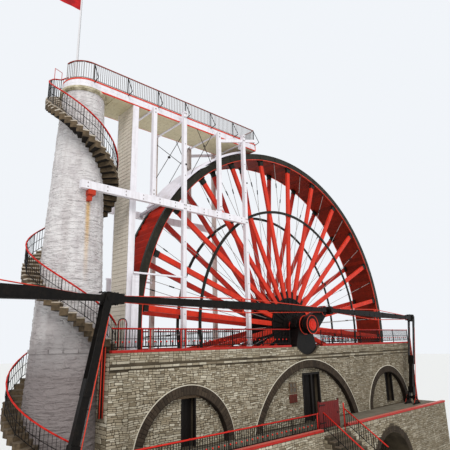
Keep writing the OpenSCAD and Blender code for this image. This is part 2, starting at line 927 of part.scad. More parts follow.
hub_core_r = 1000;
hub_plate_t = 40;
hub_boss_t = 180;
hub_boss_out = 80;
sole_r = wheel_r - bucket_depth;
spoke_phase_angle = 11;

// One hub: a boss on the axle with a plate on each side of the spoke feet
module hub_at(y) {
    at_axle()
        translate([0, y, 0])
            rotate([90, 0, 0])
                difference() {
                    union() {
                        cylinder(h = spoke_t + 2 * seat, r = hub_core_r, center = true, $fn = 96);
                        for (s = [-1, 1])
                            translate([0, 0, s * (spoke_t / 2 + seat + hub_plate_t / 2)])
                                cylinder(h = hub_plate_t, r = hub_r, center = true, $fn = 96);
                        cylinder(h = spoke_t + 2 * (hub_plate_t + hub_boss_out),
                                 r = axle_d / 2 + hub_boss_t, center = true, $fn = 96);
                    }
                    cylinder(h = wheel_w, d = axle_d, center = true, $fn = 96);
                }
}

module hubs() {
    color([0.15, 0.15, 0.14]) {
        hub_at(-hub_y);
        hub_at(hub_y);
    }
}

// The outer corners of a spoke just meet the round inside of the sole
spoke_end_r = sqrt(pow(sole_r - bucket_board - seat, 2) - pow(spoke_w / 2, 2));
spoke_foot_w = 200;
spoke_taper_l = 300;

// One side of spokes: each narrows to its foot between the hub plates
module spokes_at(y) {
    at_axle()
        side_view(y - spoke_t / 2, y + spoke_t / 2)
            for (i = [0:spoke_count - 1])
                rotate(spoke_phase_angle + i * 360 / spoke_count)
                    polygon([[hub_core_r + seat, -spoke_foot_w / 2],
                             [hub_r + spoke_taper_l, -spoke_w / 2], [spoke_end_r, -spoke_w / 2],
                             [spoke_end_r, spoke_w / 2], [hub_r + spoke_taper_l, spoke_w / 2],
                             [hub_core_r + seat, spoke_foot_w / 2]]);
}

module front_spokes() {
    color("red") spokes_at(-hub_y);
}

module back_spokes() {
    color("red") spokes_at(hub_y);
}

ring_w = 160;
ring_t = 60;

module bracing_rings() {
    color("black")
        at_axle()
            for (side = [-1, 1])
                translate([0, side * (hub_y + spoke_t / 2 + ring_t / 2 + seat), 0])
                    rotate([90, 0, 0])
                        difference() {
                            cylinder(h = ring_t, r = ring_r + ring_w / 2, center = true, $fn = 144);
                            cylinder(h = ring_t + 2, r = ring_r - ring_w / 2, center = true,
                                     $fn = 144);
                        }
}

// One shroud: a plate ring with a flange round its rim, turned towards the buckets
module shroud_at(side) {
    y0 = wheel_w / 2;
    y1 = y0 - shroud_t;
    y2 = y0 - shroud_flange_w;
    r0 = wheel_r - shroud_depth;
    r1 = wheel_r - shroud_flange_t;
    at_axle()
        rotate([side * 90, 0, 0])
            rotate_extrude($fn = 180)
                polygon([[r0, y0], [r0, y1], [r1, y1], [r1, y2], [wheel_r, y2], [wheel_r, y0]]);
}

module front_shroud() {
    color([0.15, 0.18, 0.16]) shroud_at(1);
}

module back_shroud() {
    color([0.15, 0.18, 0.16]) shroud_at(-1);
}

module sole() {
    color("darkred")
        at_axle()
            rotate([90, 0, 0])
                difference() {
                    cylinder(h = wheel_w - 2 * shroud_t - 2 * seat, r = sole_r, center = true, $fn = 180);
                    cylinder(h = wheel_w, r = sole_r - bucket_board, center = true, $fn = 180);
                }
}

// One bucket seen from the side: a short riser from the sole and a slanting front board
module bucket_outline() {
    pitch = 360 / bucket_count;
    function at(r, a) = [r * cos(a), r * sin(a)];
    riser = sole_r + 0.35 * bucket_depth;
    lip = wheel_r - shroud_flange_t - seat;
    t = bucket_board / sole_r * 180 / PI;
    polygon([at(sole_r + seat, 0), at(riser, 0), at(lip, -pitch * 1.3),
             at(lip, -pitch * 1.3 + t * 1.6), at(riser + 15, t), at(sole_r + seat, t)]);
}

module buckets() {
    color("firebrick")
        at_axle()
            side_view(-wheel_w / 2 + shroud_t + seat, wheel_w / 2 - shroud_t - seat)
                for (i = [0:bucket_count - 1])
                    rotate(i * 360 / bucket_count) bucket_outline();
}

spoke_tie_d = 30;

module spoke_ties() {
    color("gray")
        at_axle()
            for (side = [-1, 1])
                for (i = [0:spoke_count - 1]) {
                    a = spoke_phase_angle + (i + 0.5) * 360 / spoke_count;
                    bar([hub_r * cos(a), side * hub_y, hub_r * sin(a)],
                        [spoke_end_r * cos(a), side * hub_y, spoke_end_r * sin(a)],
                        spoke_tie_d, 6);
                }
}

pin_at = [crank_throw * cos(crank_angle), crank_throw * sin(crank_angle)];
web_y0 = -wall_out - crank_gap;
web_y1 = web_y0 - crank_web_t;
crank_boss_r = 550;
crank_eye_r = 300;
crank_pin_out = 80;

module crank() {
    color([0.12, 0.1, 0.1])
        at_axle() {
            difference() {
                side_view(web_y1, web_y0)
                    union() {
                        // The cheeks touch both circles a little past their middles
                        lean = asin((crank_boss_r - crank_eye_r) / crank_throw);
                        circle(r = crank_boss_r, $fn = 72);
                        translate(pin_at) circle(r = crank_eye_r, $fn = 48);
                        rotate(crank_angle)
                            polygon([for (p = [[0, -1, crank_boss_r], [0, 1, crank_boss_r],
                                               [1, 1, crank_eye_r], [1, -1, crank_eye_r]])
                                [p[0] * crank_throw + (p[2] - 1) * sin(lean),
                                 p[1] * (p[2] - 1) * cos(lean)]]);
                    }
                side_view(web_y1 - 1, web_y0 + 1) circle(d = axle_d, $fn = 72);
            }
            side_view(-rod_plane - rod_t / 2 - crank_pin_out, web_y1) translate(pin_at)
                circle(d = crank_pin_d, $fn = 48);
        }
}

// Radius of the casting at the far end of a rod
rod_eye_r = 260;
rod_eye_wall = 110;
rod_eye_h = 240;
rod_start = 520;
rod_stop = 300;
rod_cap_l = 700;
rod_cap_h = 400;
truss_d = 36;
truss_out = 160;
truss_post = 90;
truss_stop = 600;

// A rod timber, deepest at mid length, with an eye at the crank end and one at the far end
module rod_timber(length, y0, y1, eye_y0, eye_y1, way) {
    side_view(y0, y1)
        polygon([[way * rod_start, -rod_end_h / 2], [way * (length / 2), -rod_mid_h / 2],
                 [way * (length - rod_stop), -rod_end_h / 2],
                 [way * (length - rod_stop), rod_end_h / 2],
                 [way * (length / 2), rod_mid_h / 2], [way * rod_start, rod_end_h / 2]]);
    side_view(eye_y0, eye_y1)
        difference() {
            union() {
                circle(r = crank_pin_d / 2 + rod_eye_wall, $fn = 48);
                translate([way > 0 ? 0 : seat - rod_start, -rod_eye_h / 2])
                    square([rod_start - seat, rod_eye_h]);
            }
            circle(d = crank_pin_d + 2 * pin_gap, $fn = 48);
        }
    side_view(y0, y1)
        union() {
            translate([way * length, 0]) circle(r = rod_eye_r, $fn = 48);
            translate([way > 0 ? length - rod_cap_l : -length, -rod_cap_h / 2])
                square([rod_cap_l, rod_cap_h]);
        }
}

module truss(length, y, way) {
    for (s = [-1, 1]) {
        bar([way * rod_cap_l, y, s * rod_end_h / 2],
            [way * length / 2, y, s * (rod_mid_h / 2 + truss_out)], truss_d);
        bar([way * length / 2, y, s * (rod_mid_h / 2 + truss_out)],
            [way * (length - truss_stop), y, s * rod_end_h / 2], truss_d);
    }
    translate([way * length / 2, y, 0])
        cube([truss_post, truss_post, rod_mid_h + 2 * truss_out + truss_d + 4], center = true);
}

module main_rod() {
    color([0.12, 0.1, 0.1])
        at_axle()
            translate([pin_at.x, 0, pin_at.y]) {
                rod_timber(main_rod_len, -rod_plane - rod_t / 2, -rod_plane + rod_t / 2,
                           -rod_plane + pin_gap / 2, -rod_plane + rod_t / 2, -1);
                truss(main_rod_len, -rod_plane, -1);
            }
}

module drive_rod() {
    color([0.12, 0.1, 0.1])
        at_axle()
            translate([pin_at.x - main_rod_len, 0, pin_at.y]) {
                side_view(-rod_plane - rod_t / 2, -rod_plane + rod_t / 2)
                    polygon([[-rod_eye_r - seat, -rod_end_h / 2], [-drive_rod_len, -rod_mid_h / 2],
                             [-drive_rod_len, rod_mid_h / 2], [-rod_eye_r - seat, rod_end_h / 2]]);
            }
}

module right_rod() {
    color([0.12, 0.1, 0.1])
        at_axle()
            translate([pin_at.x, 0, pin_at.y])
                rotate([0, right_rod_slope, 0]) {
                    rod_timber(right_rod_len, -rod_plane - rod_t / 2, -rod_plane + rod_t / 2,
                               -rod_plane - rod_t / 2, -rod_plane - pin_gap / 2, 1);
                    truss(right_rod_len, -rod_plane, 1);
                }
}

rocker_foot_r = 230;
rocker_head_r = 240;
rocker_head_w = 150;
packing_half = 170;
packing_l = 950;
packing_z = [300, 1900];

// Two cheeks that the rods pass between, joined by packing blocks in their lower half
module rocker(foot, length, lean) {
    translate([foot.x, -rod_plane, foot.y])
        rotate([0, lean, 0])
            difference() {
                union() {
                    for (y = [-rocker_half, rocker_gap])
                        side_view(y, y + rocker_cheek_t)
                            union() {
                                polygon([[-rocker_foot_r, 0], [rocker_foot_r, 0],
                                         [rocker_head_w, length], [-rocker_head_w, length]]);
                                circle(r = rocker_foot_r, $fn = 48);
                                translate([0, length]) circle(r = rocker_head_r, $fn = 48);
                            }
                    for (z = packing_z)
                        box([-packing_half, seat - rocker_gap, z],
                            [packing_half, rocker_gap - seat, z + packing_l]);
                }
                side_view(-rocker_half - 1, rocker_half + 1)
                    circle(d = foot_pin_d + 2 * pin_gap, $fn = 48);
            }
}

module left_rocker() {
    color([0.1, 0.1, 0.1]) rocker(left_foot, left_rocker_len, left_rocker_lean);
}

module right_rocker() {
    color([0.1, 0.1, 0.1]) rocker(right_foot, right_rocker_len, right_rocker_lean);
}

front_wall();
arch_rings();
back_wall();
left_end_wall();
right_end_wall();
pit_floor();
terrace();
tower_plinth();
wall_coping();
front_railing();
back_railing();
terrace_railing();
terrace_coping();
terrace_steps();
terrace_step_rails();
terrace_gate();
tower();
tower_cornice();
lower_flight();
middle_flight();
upper_flight();
lower_stair_rail();
upper_stair_rail();
deck();
side_boards();
deck_railing();
deck_bearers();
drop_screen();
wheel_screens();
apron_launder();
front_posts();
back_posts();
side_beams();
beam_bracket();
tie_rods();
axle_bearings();
flagpole();
flag();
left_guide_post();
right_guide_post();
left_rocker_stand();
right_rocker_stand();
axle();
hubs();
front_spokes();
back_spokes();
bracing_rings();
front_shroud();
back_shroud();
sole();
buckets();
spoke_ties();
crank();
main_rod();
drive_rod();
right_rod();
left_rocker();
right_rocker();
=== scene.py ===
import math
import random
import bpy
import bmesh
from mathutils import Vector, Matrix


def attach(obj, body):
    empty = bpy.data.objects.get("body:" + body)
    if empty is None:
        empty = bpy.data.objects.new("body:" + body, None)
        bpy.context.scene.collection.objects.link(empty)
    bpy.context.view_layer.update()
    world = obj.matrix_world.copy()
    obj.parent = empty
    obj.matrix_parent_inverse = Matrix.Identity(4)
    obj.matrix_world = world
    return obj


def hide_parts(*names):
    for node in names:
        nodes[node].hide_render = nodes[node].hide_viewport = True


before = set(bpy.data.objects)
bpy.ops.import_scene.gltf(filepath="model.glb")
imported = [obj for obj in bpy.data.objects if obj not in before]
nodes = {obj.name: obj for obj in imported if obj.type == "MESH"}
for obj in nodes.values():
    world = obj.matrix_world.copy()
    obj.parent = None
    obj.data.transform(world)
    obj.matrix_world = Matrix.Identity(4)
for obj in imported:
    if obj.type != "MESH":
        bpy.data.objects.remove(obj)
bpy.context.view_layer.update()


# Camera: it stands to the left in front of the wheel case, a little below the axle, and looks up
# along the building to the right.
def placed(name, data):
    """Puts a mesh, a lamp or the camera in the scene as an object of its own."""
    piece = bpy.data.objects.new(name, data)
    bpy.context.scene.collection.objects.link(piece)
    return piece


camera = placed("camera", bpy.data.cameras.new("camera"))
bpy.context.scene.camera = camera
camera_yaw = math.radians(42.380)
camera_pitch = math.radians(14.878)
camera_roll = math.radians(-1.172)
ahead = Vector((math.sin(camera_yaw) * math.cos(camera_pitch),
                math.cos(camera_yaw) * math.cos(camera_pitch), math.sin(camera_pitch)))
level = Vector((math.cos(camera_yaw), -math.sin(camera_yaw), 0))
lift = level.cross(ahead)
camera_x = level * math.cos(camera_roll) + lift * math.sin(camera_roll)
camera_y = lift * math.cos(camera_roll) - level * math.sin(camera_roll)
camera.matrix_world = Matrix.Translation((-21.730, -18.946, 10.861)) @ Matrix(
    (camera_x, camera_y, -ahead)).transposed().to_4x4()
camera.data.lens = 35.18
camera.data.sensor_width = 36
camera.data.clip_end = 600


# Studio: a plain pale floor, an even pale sky and one wide soft lamp high in front.
floor_mesh = bpy.data.meshes.new("studio_floor")
floor_mesh.from_pydata([(-300, -300, 0), (300, -300, 0), (300, 300, 0), (-300, 300, 0)], [],
                       [(0, 1, 2, 3)])
studio_floor = placed("studio_floor", floor_mesh)
floor_material = bpy.data.materials.new("studio_floor")
floor_material.use_nodes = True
floor_shader = floor_material.node_tree.nodes["Principled BSDF"]
floor_shader.inputs["Base Color"].default_value = (0.78, 0.78, 0.76, 1)
floor_shader.inputs["Roughness"].default_value = 0.9
floor_mesh.materials.append(floor_material)

bpy.context.scene.view_settings.view_transform = "Standard"
sky = bpy.data.worlds.new("studio_sky")
bpy.context.scene.world = sky
sky.use_nodes = True
sky_tree = sky.node_tree
sky_light = sky_tree.nodes["Background"]
sky_light.inputs["Color"].default_value = (0.93, 0.96, 1.0, 1)
sky_light.inputs["Strength"].default_value = 0.78
sky_seen = sky_tree.nodes.new("ShaderNodeBackground")
sky_seen.inputs["Color"].default_value = (0.90, 0.93, 0.97, 1)
sky_seen.inputs["Strength"].default_value = 0.98
sky_mix = sky_tree.nodes.new("ShaderNodeMixShader")
sky_path = sky_tree.nodes.new("ShaderNodeLightPath")
sky_shown = sky_path.outputs["Is Camera Ray"]
for ray in ("Is Glossy Ray", "Is Transmission Ray"):
    either = sky_tree.nodes.new("ShaderNodeMath")
    either.operation = "MAXIMUM"
    sky_tree.links.new(sky_shown, either.inputs[0])
    sky_tree.links.new(sky_path.outputs[ray], either.inputs[1])
    sky_shown = either.outputs["Value"]
sky_tree.links.new(sky_shown, sky_mix.inputs["Fac"])
sky_tree.links.new(sky_light.outputs["Background"], sky_mix.inputs[1])
sky_tree.links.new(sky_seen.outputs["Background"], sky_mix.inputs[2])
sky_tree.links.new(sky_mix.outputs["Shader"], sky_tree.nodes["World Output"].inputs["Surface"])

lamp_data = bpy.data.lights.new("soft_lamp", "SUN")
lamp_data.energy = 1.7
lamp_data.angle = math.radians(25)
lamp_data.color = (1.0, 0.98, 0.95)
soft_lamp = placed("soft_lamp", lamp_data)
soft_lamp.rotation_euler = (math.radians(48), math.radians(10), math.radians(-38))


# Front wall of the wheel case: a metre of thin-coursed rubble, laid by hand in lime mortar, grey,
# beige and brown. The mortar bed is the wall's own solid, and every stone is a block set in it.
def shade(red, green, blue):
    """A colour written as a paint chart gives it, turned into light values."""
    return tuple(((c / 255 + 0.055) / 1.055) ** 2.4 if c > 10 else c / 3294.6
                 for c in (red, green, blue)) + (1.0,)


def start_finish(name, roughness, metallic=0.0):
    material = bpy.data.materials.new(name)
    material.use_nodes = True
    tree = material.node_tree
    shader = tree.nodes["Principled BSDF"]
    shader.inputs["Roughness"].default_value = roughness
    shader.inputs["Metallic"].default_value = metallic
    shader.inputs["Specular IOR Level"].default_value = 0.22
    return material, tree, shader


def feed(tree, socket, value):
    """Links another socket to this one, or sets a plain value on it."""
    if isinstance(value, bpy.types.NodeSocket):
        tree.links.new(value, socket)
    else:
        socket.default_value = value


def worked(tree, operation, *values):
    """One step of arithmetic on sockets or plain numbers."""
    node = tree.nodes.new("ShaderNodeMath")
    node.operation = operation
    for socket, value in zip(node.inputs, values):
        feed(tree, socket, value)
    return node.outputs["Value"]


def scaled(tree, value, factor):
    return worked(tree, "MULTIPLY", value, factor)


def faded(tree, value, start, end):
    """0 where the value is at start, 1 where it is at end, and even in between."""
    node = tree.nodes.new("ShaderNodeMapRange")
    for label, given in (("Value", value), ("From Min", start), ("From Max", end)):
        feed(tree, node.inputs[label], given)
    return node.outputs["Result"]


def axes(tree, kind="ShaderNodeTexCoord", output="Object"):
    """X, Y and Z of a place on the object, or of another node's vector."""
    source = tree.nodes.new(kind)
    parts = tree.nodes.new("ShaderNodeSeparateXYZ")
    tree.links.new(source.outputs[output], parts.inputs["Vector"])
    return parts.outputs


def noise(tree, scale, detail, stretch, roughness=0.5):
    coords = tree.nodes.new("ShaderNodeTexCoord")
    mapping = tree.nodes.new("ShaderNodeMapping")
    mapping.inputs["Scale"].default_value = stretch
    cloud = tree.nodes.new("ShaderNodeTexNoise")
    cloud.inputs["Detail"].default_value = detail
    cloud.inputs["Roughness"].default_value = roughness
    feed(tree, cloud.inputs["Scale"], scale)
    tree.links.new(coords.outputs["Object"], mapping.inputs["Vector"])
    tree.links.new(mapping.outputs["Vector"], cloud.inputs["Vector"])
    return cloud.outputs["Fac"]


def fine_noise(tree, size, detail=4, stretch=(1, 1, 1)):
    return noise(tree, 1 / size, detail, stretch)


# Weather: soft patches of a given size, and streaks that rain draws down a face
def weather_group(name, size_label, size, low, high, detail, roughness, stretch):
    """Soft noise, of a size in metres, cut to a mask between two limits."""
    group = bpy.data.node_groups.new(name, "ShaderNodeTree")
    for label, value in ((size_label, size), ("Low", low), ("High", high)):
        socket = group.interface.new_socket(label, in_out="INPUT", socket_type="NodeSocketFloat")
        socket.default_value = value
    group.interface.new_socket("Mask", in_out="OUTPUT", socket_type="NodeSocketFloat")
    given = group.nodes.new("NodeGroupInput").outputs
    result = group.nodes.new("NodeGroupOutput")
    scale = worked(group, "DIVIDE", 1, given[size_label])
    cloud = noise(group, scale, detail, stretch, roughness)
    group.links.new(faded(group, cloud, given["Low"], given["High"]), result.inputs["Mask"])
    return group


patches = weather_group("weather_patches", "Size", 1.0, 0.4, 0.6, 5, 0.62, (1, 1, 1))
streaks = weather_group("rain_streaks", "Width", 0.2, 0.5, 0.75, 4, 0.5, (1, 1, 0.07))


def weathered(tree, group, **values):
    """The mask of a weather group, placed in a material with its own sizes."""
    node = tree.nodes.new("ShaderNodeGroup")
    node.node_tree = group
    for label, value in values.items():
        node.inputs[label].default_value = value
    return node.outputs["Mask"]


def mix_colour(tree, mask, first, second):
    """Colour or socket first where the mask is 0, second where it is 1."""
    mix = tree.nodes.new("ShaderNodeMix")
    mix.data_type = "RGBA"
    for label, value in (("Factor", mask), (6, first), (7, second)):
        feed(tree, mix.inputs[label], value)
    return mix.outputs[2]


def add_relief(tree, shader, height, distance, strength=1.0):
    bump = tree.nodes.new("ShaderNodeBump")
    bump.inputs["Distance"].default_value = distance
    bump.inputs["Strength"].default_value = strength
    tree.links.new(height, bump.inputs["Height"])
    tree.links.new(bump.outputs["Normal"], shader.inputs["Normal"])


def patchy_finish(name, roughness, first, second, size, low, high, grain=None, relief=0.0):
    """A plain finish of two tones in soft patches; grain is the size and detail of its relief."""
    material, tree, shader = start_finish(name, roughness)
    mask = weathered(tree, patches, Size=size, Low=low, High=high)
    tree.links.new(mix_colour(tree, mask, first, second), shader.inputs["Base Color"])
    if grain:
        add_relief(tree, shader, fine_noise(tree, *grain), relief)
    return material


def stone_finish(name, tones, darkening_and_painted_shade, relief=0.012):
    """Stones of several tones, chosen by each stone's own number, darker with grit and rain, and
    with painted shade towards the right end."""
    material, tree, shader = start_finish(name, 0.9)
    own = tree.nodes.new("ShaderNodeAttribute")
    own.attribute_name = "tone"
    ramp = tree.nodes.new("ShaderNodeValToRGB")
    for i, tone in enumerate(tones):
        at = i / (len(tones) - 1)
        stop = ramp.color_ramp.elements[i] if i < 2 else ramp.color_ramp.elements.new(at)
        stop.position = at
        stop.color = tone
    tree.links.new(own.outputs["Fac"], ramp.inputs["Fac"])
    grit = fine_noise(tree, 0.035, 6)
    shown = ramp.outputs["Color"]
    # grit and rain darken the stones; the last mask is painted shade, darker towards the right end
    for mask, share in ((faded(tree, grit, 0.35, 0.7), 0.35),
                        (weathered(tree, streaks, Width=0.9, Low=0.46, High=0.74), 0.3),
                        (faded(tree, axes(tree)["X"], -6.0, 12.0), 0.55)):
        shown = mix_colour(tree, scaled(tree, mask, share), shown, darkening_and_painted_shade)
    tree.links.new(shown, shader.inputs["Base Color"])
    add_relief(tree, shader, grit, relief)
    return material


wall_stone = stone_finish(
    "wall_stone",
    [shade(142, 130, 108), shade(188, 178, 156), shade(160, 147, 123), shade(212, 204, 184),
     shade(172, 160, 138), shade(120, 108, 88), shade(200, 192, 172), shade(152, 141, 120)],
    shade(86, 77, 60))
mortar = patchy_finish("wall_mortar", 0.95, shade(58, 50, 40), shade(92, 82, 66), 1.4, 0.35, 0.65,
                       (0.05, 5), 0.01)


def courses(u0, u1, v0, v1, height, length, dice, hole=None):
    """Rows of stones over a face: (left, right, bottom, top) for each, cut back at holes."""
    cells = []
    v = v0
    while v < v1 - 0.02:
        h = dice.uniform(*height)
        if v1 - v - h < height[0]:
            h = v1 - v
        u = u0
        while u < u1 - 0.02:
            w = dice.uniform(*length) * (0.75 + 2.2 * h)
            if u1 - u - w < length[0]:
                w = u1 - u
            left, right = u, u + w
            if hole:
                steps = max(2, round(w / 0.04))
                clear = [not any(hole(u + w * (k + 0.5) / steps, v + h * f)
                                 for f in (0.08, 0.5, 0.92)) for k in range(steps)]
                best, run = (0, 0), None
                for k, ok in enumerate(clear + [False]):
                    if ok and run is None:
                        run = k
                    if not ok and run is not None:
                        if k - run > best[1] - best[0]:
                            best = (run, k)
                        run = None
                left, right = u + w * best[0] / steps, u + w * best[1] / steps
            if right - left > 0.07:
                cells.append((left, right, v, v + h))
            u += w
        v += h
    return cells


def rubble(u0, u1, v0, v1, height, length, dice, hole=None):
    """Random rubble: short panels of stones, no two with the same beds, some stones split."""
    cells = []
    v = v0
    while v < v1 - 0.02:
        lift = dice.uniform(2.2, 3.4) * height[1]
        if v1 - v - lift < 1.5 * height[1]:
            lift = v1 - v
        u = u0
        while u < u1 - 0.02:
            w = dice.uniform(0.45, 1.6)
            if u1 - u - w < 0.45:
                w = u1 - u
            for left, right, low, high in courses(u, u + w, v, v + lift, height, length, dice,
                                                  hole):
                chance = dice.random()
                if chance < 0.16 and high - low > 0.12:
                    split = low + (high - low) * dice.uniform(0.35, 0.65)
                    cells += [(left, right, low, split), (left, right, split, high)]
                elif chance < 0.36 and right - left > 0.26:
                    split = left + (right - left) * dice.uniform(0.3, 0.7)
                    cells += [(left, split, low, high), (split, right, low, high)]
                else:
                    cells.append((left, right, low, high))
            u += w
        v += lift
    return cells


def lay_stones(name, cells, place, material, dice, proud=(0.008, 0.022), joint=0.014,
               ragged=0.3, bed=0.004, stray=0.0, chip=0.0):
    """One mesh of dressed blocks: place(u, v, out) puts a point of the face in the world.
    Beds and joints wander by stray, and each corner loses up to chip of the stone's side."""
    points, faces, tones = [], [], []
    left, right = min(c[0] for c in cells), max(c[1] for c in cells)
    bottom, top = min(c[2] for c in cells), max(c[3] for c in cells)

    def wander(u, v):
        near = min(u - left, right - u, v - bottom, top - v, 0.3) / 0.3 * stray
        return (u + near * (math.sin(3.1 * u + 7.3 * v) + 0.7 * math.sin(9.7 * u - 5.1 * v)),
                v + near * (math.sin(2.3 * u + 1.7 * v) + 0.8 * math.sin(7.1 * u + 4.3 * v)))
    for u0, u1, v0, v1 in cells:
        w, h = u1 - u0, v1 - v0
        gap = min(joint, 0.12 * w, 0.16 * h) / 2
        inset = min(0.02, 0.16 * w, 0.2 * h)
        rough = ragged * min(0.05, 0.25 * h)
        out = dice.uniform(*proud)
        tone = dice.random()
        first = len(points)
        outline = []
        for side_u, side_v in ((1, 1), (-1, 1), (-1, -1), (1, -1)):
            a = (u0 if side_u > 0 else u1) + side_u * gap * dice.uniform(0.6, 1.4)
            b = (v0 if side_v > 0 else v1) + side_v * gap * dice.uniform(0.6, 1.4)
            if chip:
                cut = min(h, w) * chip
                along = (a + side_u * cut * dice.uniform(0.15, 1.0), b)
                beside = (a, b + side_v * cut * dice.uniform(0.15, 1.0))
                pair = [beside, along] if side_u * side_v > 0 else [along, beside]
                outline += [(c, side_u, side_v) for c in pair]
            else:
                outline.append(((a, b), side_u, side_v))
        count = len(outline)
        for (a, b), side_u, side_v in outline:
            points.append(place(*wander(a, b), -bed))
        for (a, b), side_u, side_v in outline:
            a += side_u * (inset + dice.uniform(0, rough)) * (0.55 if chip else 1.0)
            b += side_v * (inset * 0.7 + dice.uniform(0, rough)) * (0.55 if chip else 1.0)
            points.append(place(*wander(a, b), out * dice.uniform(0.7, 1.0)))
        faces.append(tuple(range(first + count, first + 2 * count)))
        for k in range(count):
            n = (k + 1) % count
            faces.append((first + k, first + n, first + count + n, first + count + k))
        tones += [tone] * (count + 1)
    mesh = bpy.data.meshes.new(name)
    mesh.from_pydata(points, [], faces)
    mesh.attributes.new("tone", "FLOAT", "FACE").data.foreach_set("value", tones)
    mesh.materials.append(material)
    return placed(name, mesh)


def settle(slot, *pieces):
    """Makes the standing body carry fixed pieces; the slot argument is not used."""
    for piece in pieces:
        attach(piece, "root")


def paint(material, *names):
    """Gives nodes of the frame their finish."""
    for name in names:
        for place in nodes[name].material_slots:
            place.material = material
        if not nodes[name].material_slots:
            nodes[name].data.materials.append(material)


case_end = 12.85
case_face = 2.2
case_top = 10.5
terrace_top = 6.35
arch_back = 1.95
ring_width = 0.42
blind_arches = [(-8.9, 6.2, 2.8), (0.0, 4.75, 5.0), (8.9, 6.2, 2.8)]
course_low, course_high = 9.85, 9.96
notch_z, notch_r = 11.33, 1.32


def in_arch(x, z, trim=0.0):
    return any(math.hypot(x - cx, z - cz) < r - trim for cx, cz, r in blind_arches)


def in_notch(x, z):
    return math.hypot(x, z - notch_z) < notch_r


def wall_hole(x, z):
    return course_low - 0.01 < z < course_high + 0.01 or in_arch(x, z) or in_notch(x, z)


wall_dice = random.Random(41)
front_cells = rubble(-case_end, case_end, terrace_top, course_low, (0.05, 0.125), (0.14, 0.46),
                     wall_dice, wall_hole)
front_stones = lay_stones("front_wall_stones", front_cells, lambda u, v, o: (u, -case_face - o, v),
                          wall_stone, wall_dice, proud=(0.004, 0.034), joint=0.018,
                          stray=0.02, chip=0.35)
head_cells = rubble(-case_end, case_end, course_high, case_top, (0.06, 0.13), (0.2, 0.6),
                    wall_dice, wall_hole)
head_stones = lay_stones("wall_head_stones", head_cells, lambda u, v, o: (u, -case_face - o, v),
                         wall_stone, wall_dice, stray=0.010, chip=0.25)
course_cells = courses(-case_end, case_end, course_low, course_high, (0.11, 0.12), (0.3, 0.7),
                       wall_dice)
course_stones = lay_stones("string_course_stones", course_cells,
                           lambda u, v, o: (u, -2.262 - o, v), wall_stone, wall_dice,
                           proud=(0.004, 0.010), ragged=0.1)
settle("rubble_masonry", course_stones, head_stones, front_stones)
paint(mortar, "front_wall")


# Blind arches of the front wall: a ring of dark sandstone blocks round each, and rubble filling
# set back a quarter of a metre, with tall slots that once gave light to the pit.
ring_stone = stone_finish(
    "ring_stone",
    [shade(54, 45, 36), shade(72, 61, 49), shade(60, 50, 40), shade(78, 66, 53), shade(50, 42, 34)],
    shade(36, 30, 24), relief=0.01)
fill_dice = random.Random(42)
slot_boxes = [(-9.05, -8.30, 6.35, 8.45), (-0.40, 1.12, 6.35, 8.95), (8.95, 9.85, 6.55, 8.65)]
slot_back = -1.6


def slot_hole(x, z):
    return any(a - 0.02 < x < b + 0.02 and c < z < d + 0.02 for a, b, c, d in slot_boxes)


fill_cells = rubble(-case_end, case_end, terrace_top, 9.6, (0.05, 0.125), (0.14, 0.44), fill_dice,
                    lambda x, z: slot_hole(x, z) or not in_arch(x, z, ring_width))
fill_stones = lay_stones("arch_filling", fill_cells, lambda u, v, o: (u, -arch_back - o, v),
                         wall_stone, fill_dice, proud=(0.004, 0.03), joint=0.018,
                         stray=0.016, chip=0.35)
settle("rubble_masonry", fill_stones)


def ring_blocks(name, rings, face, way, material, dice, width, out=(0.012, 0.02),
                foot=terrace_top):
    """Wedge-shaped blocks round each arch, from its foot over the crown to the other foot."""
    meshes = []
    for cx, cz, r in rings:
        low = math.asin(max(-1.0, min(1.0, (foot - cz) / r))) if foot > cz else 0.0
        middle = r - width / 2
        span = (math.pi - 2 * low) * middle
        cells = []
        u = 0.0
        while u < span - 0.02:
            w = dice.uniform(0.13, 0.2)
            if span - u - w < 0.1:
                w = span - u
            if dice.random() < 0.35:
                cut = dice.uniform(0.4, 0.6) * width
                cells += [(u, u + w, 0.01, cut), (u, u + w, cut, width)]
            else:
                cells.append((u, u + w, 0.01, width))
            u += w

        def place(u, v, o, cx=cx, cz=cz, r=r, low=low, middle=middle):
            a = math.pi - low - u / middle
            reach = r - width + v
            return (way * (cx + reach * math.cos(a)) if way > 0 else
                    cx - reach * math.cos(a), face[0] + face[1] * o, cz + reach * math.sin(a))
        meshes.append(lay_stones(name, cells, place, material, dice, proud=out, joint=0.010))
    whole = bmesh.new()
    for stones in meshes:
        whole.from_mesh(stones.data)
        bpy.data.objects.remove(stones)
    mesh = bpy.data.meshes.new(name)
    whole.to_mesh(mesh)
    whole.free()
    mesh.materials.append(material)
    return placed(name, mesh)


def plain_mesh(body, name):
    """A mesh from the one in the making, with every face looking outwards."""
    mesh = bpy.data.meshes.new(name)
    bmesh.ops.recalc_face_normals(body, faces=body.faces)
    body.to_mesh(mesh)
    body.free()
    return mesh


def fitted(name, mesh, rides, smooth):
    """Makes a piece of a mesh, smooth if asked, and says what body carries it."""
    if smooth:
        mesh.polygons.foreach_set("use_smooth", [True] * len(mesh.polygons))
    piece = placed(name, mesh)
    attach(piece, rides)
    return piece


def finished(body, name, material, rides="root", smooth=False):
    """Turns the mesh in the making into a finished piece that rides on a body."""
    mesh = plain_mesh(body, name)
    mesh.materials.append(material)
    return fitted(name, mesh, rides, smooth)


def skin(body, sections, closed=False):
    """Faces from one four-sided section to the next, round again or with both ends shut."""
    for p, q in zip(sections, sections[1:] + (sections[:1] if closed else [])):
        for k in range(4):
            body.faces.new((p[k], p[(k + 1) % 4], q[(k + 1) % 4], q[k]))
    if not closed:
        body.faces.new(sections[0][::-1])
        body.faces.new(sections[-1])


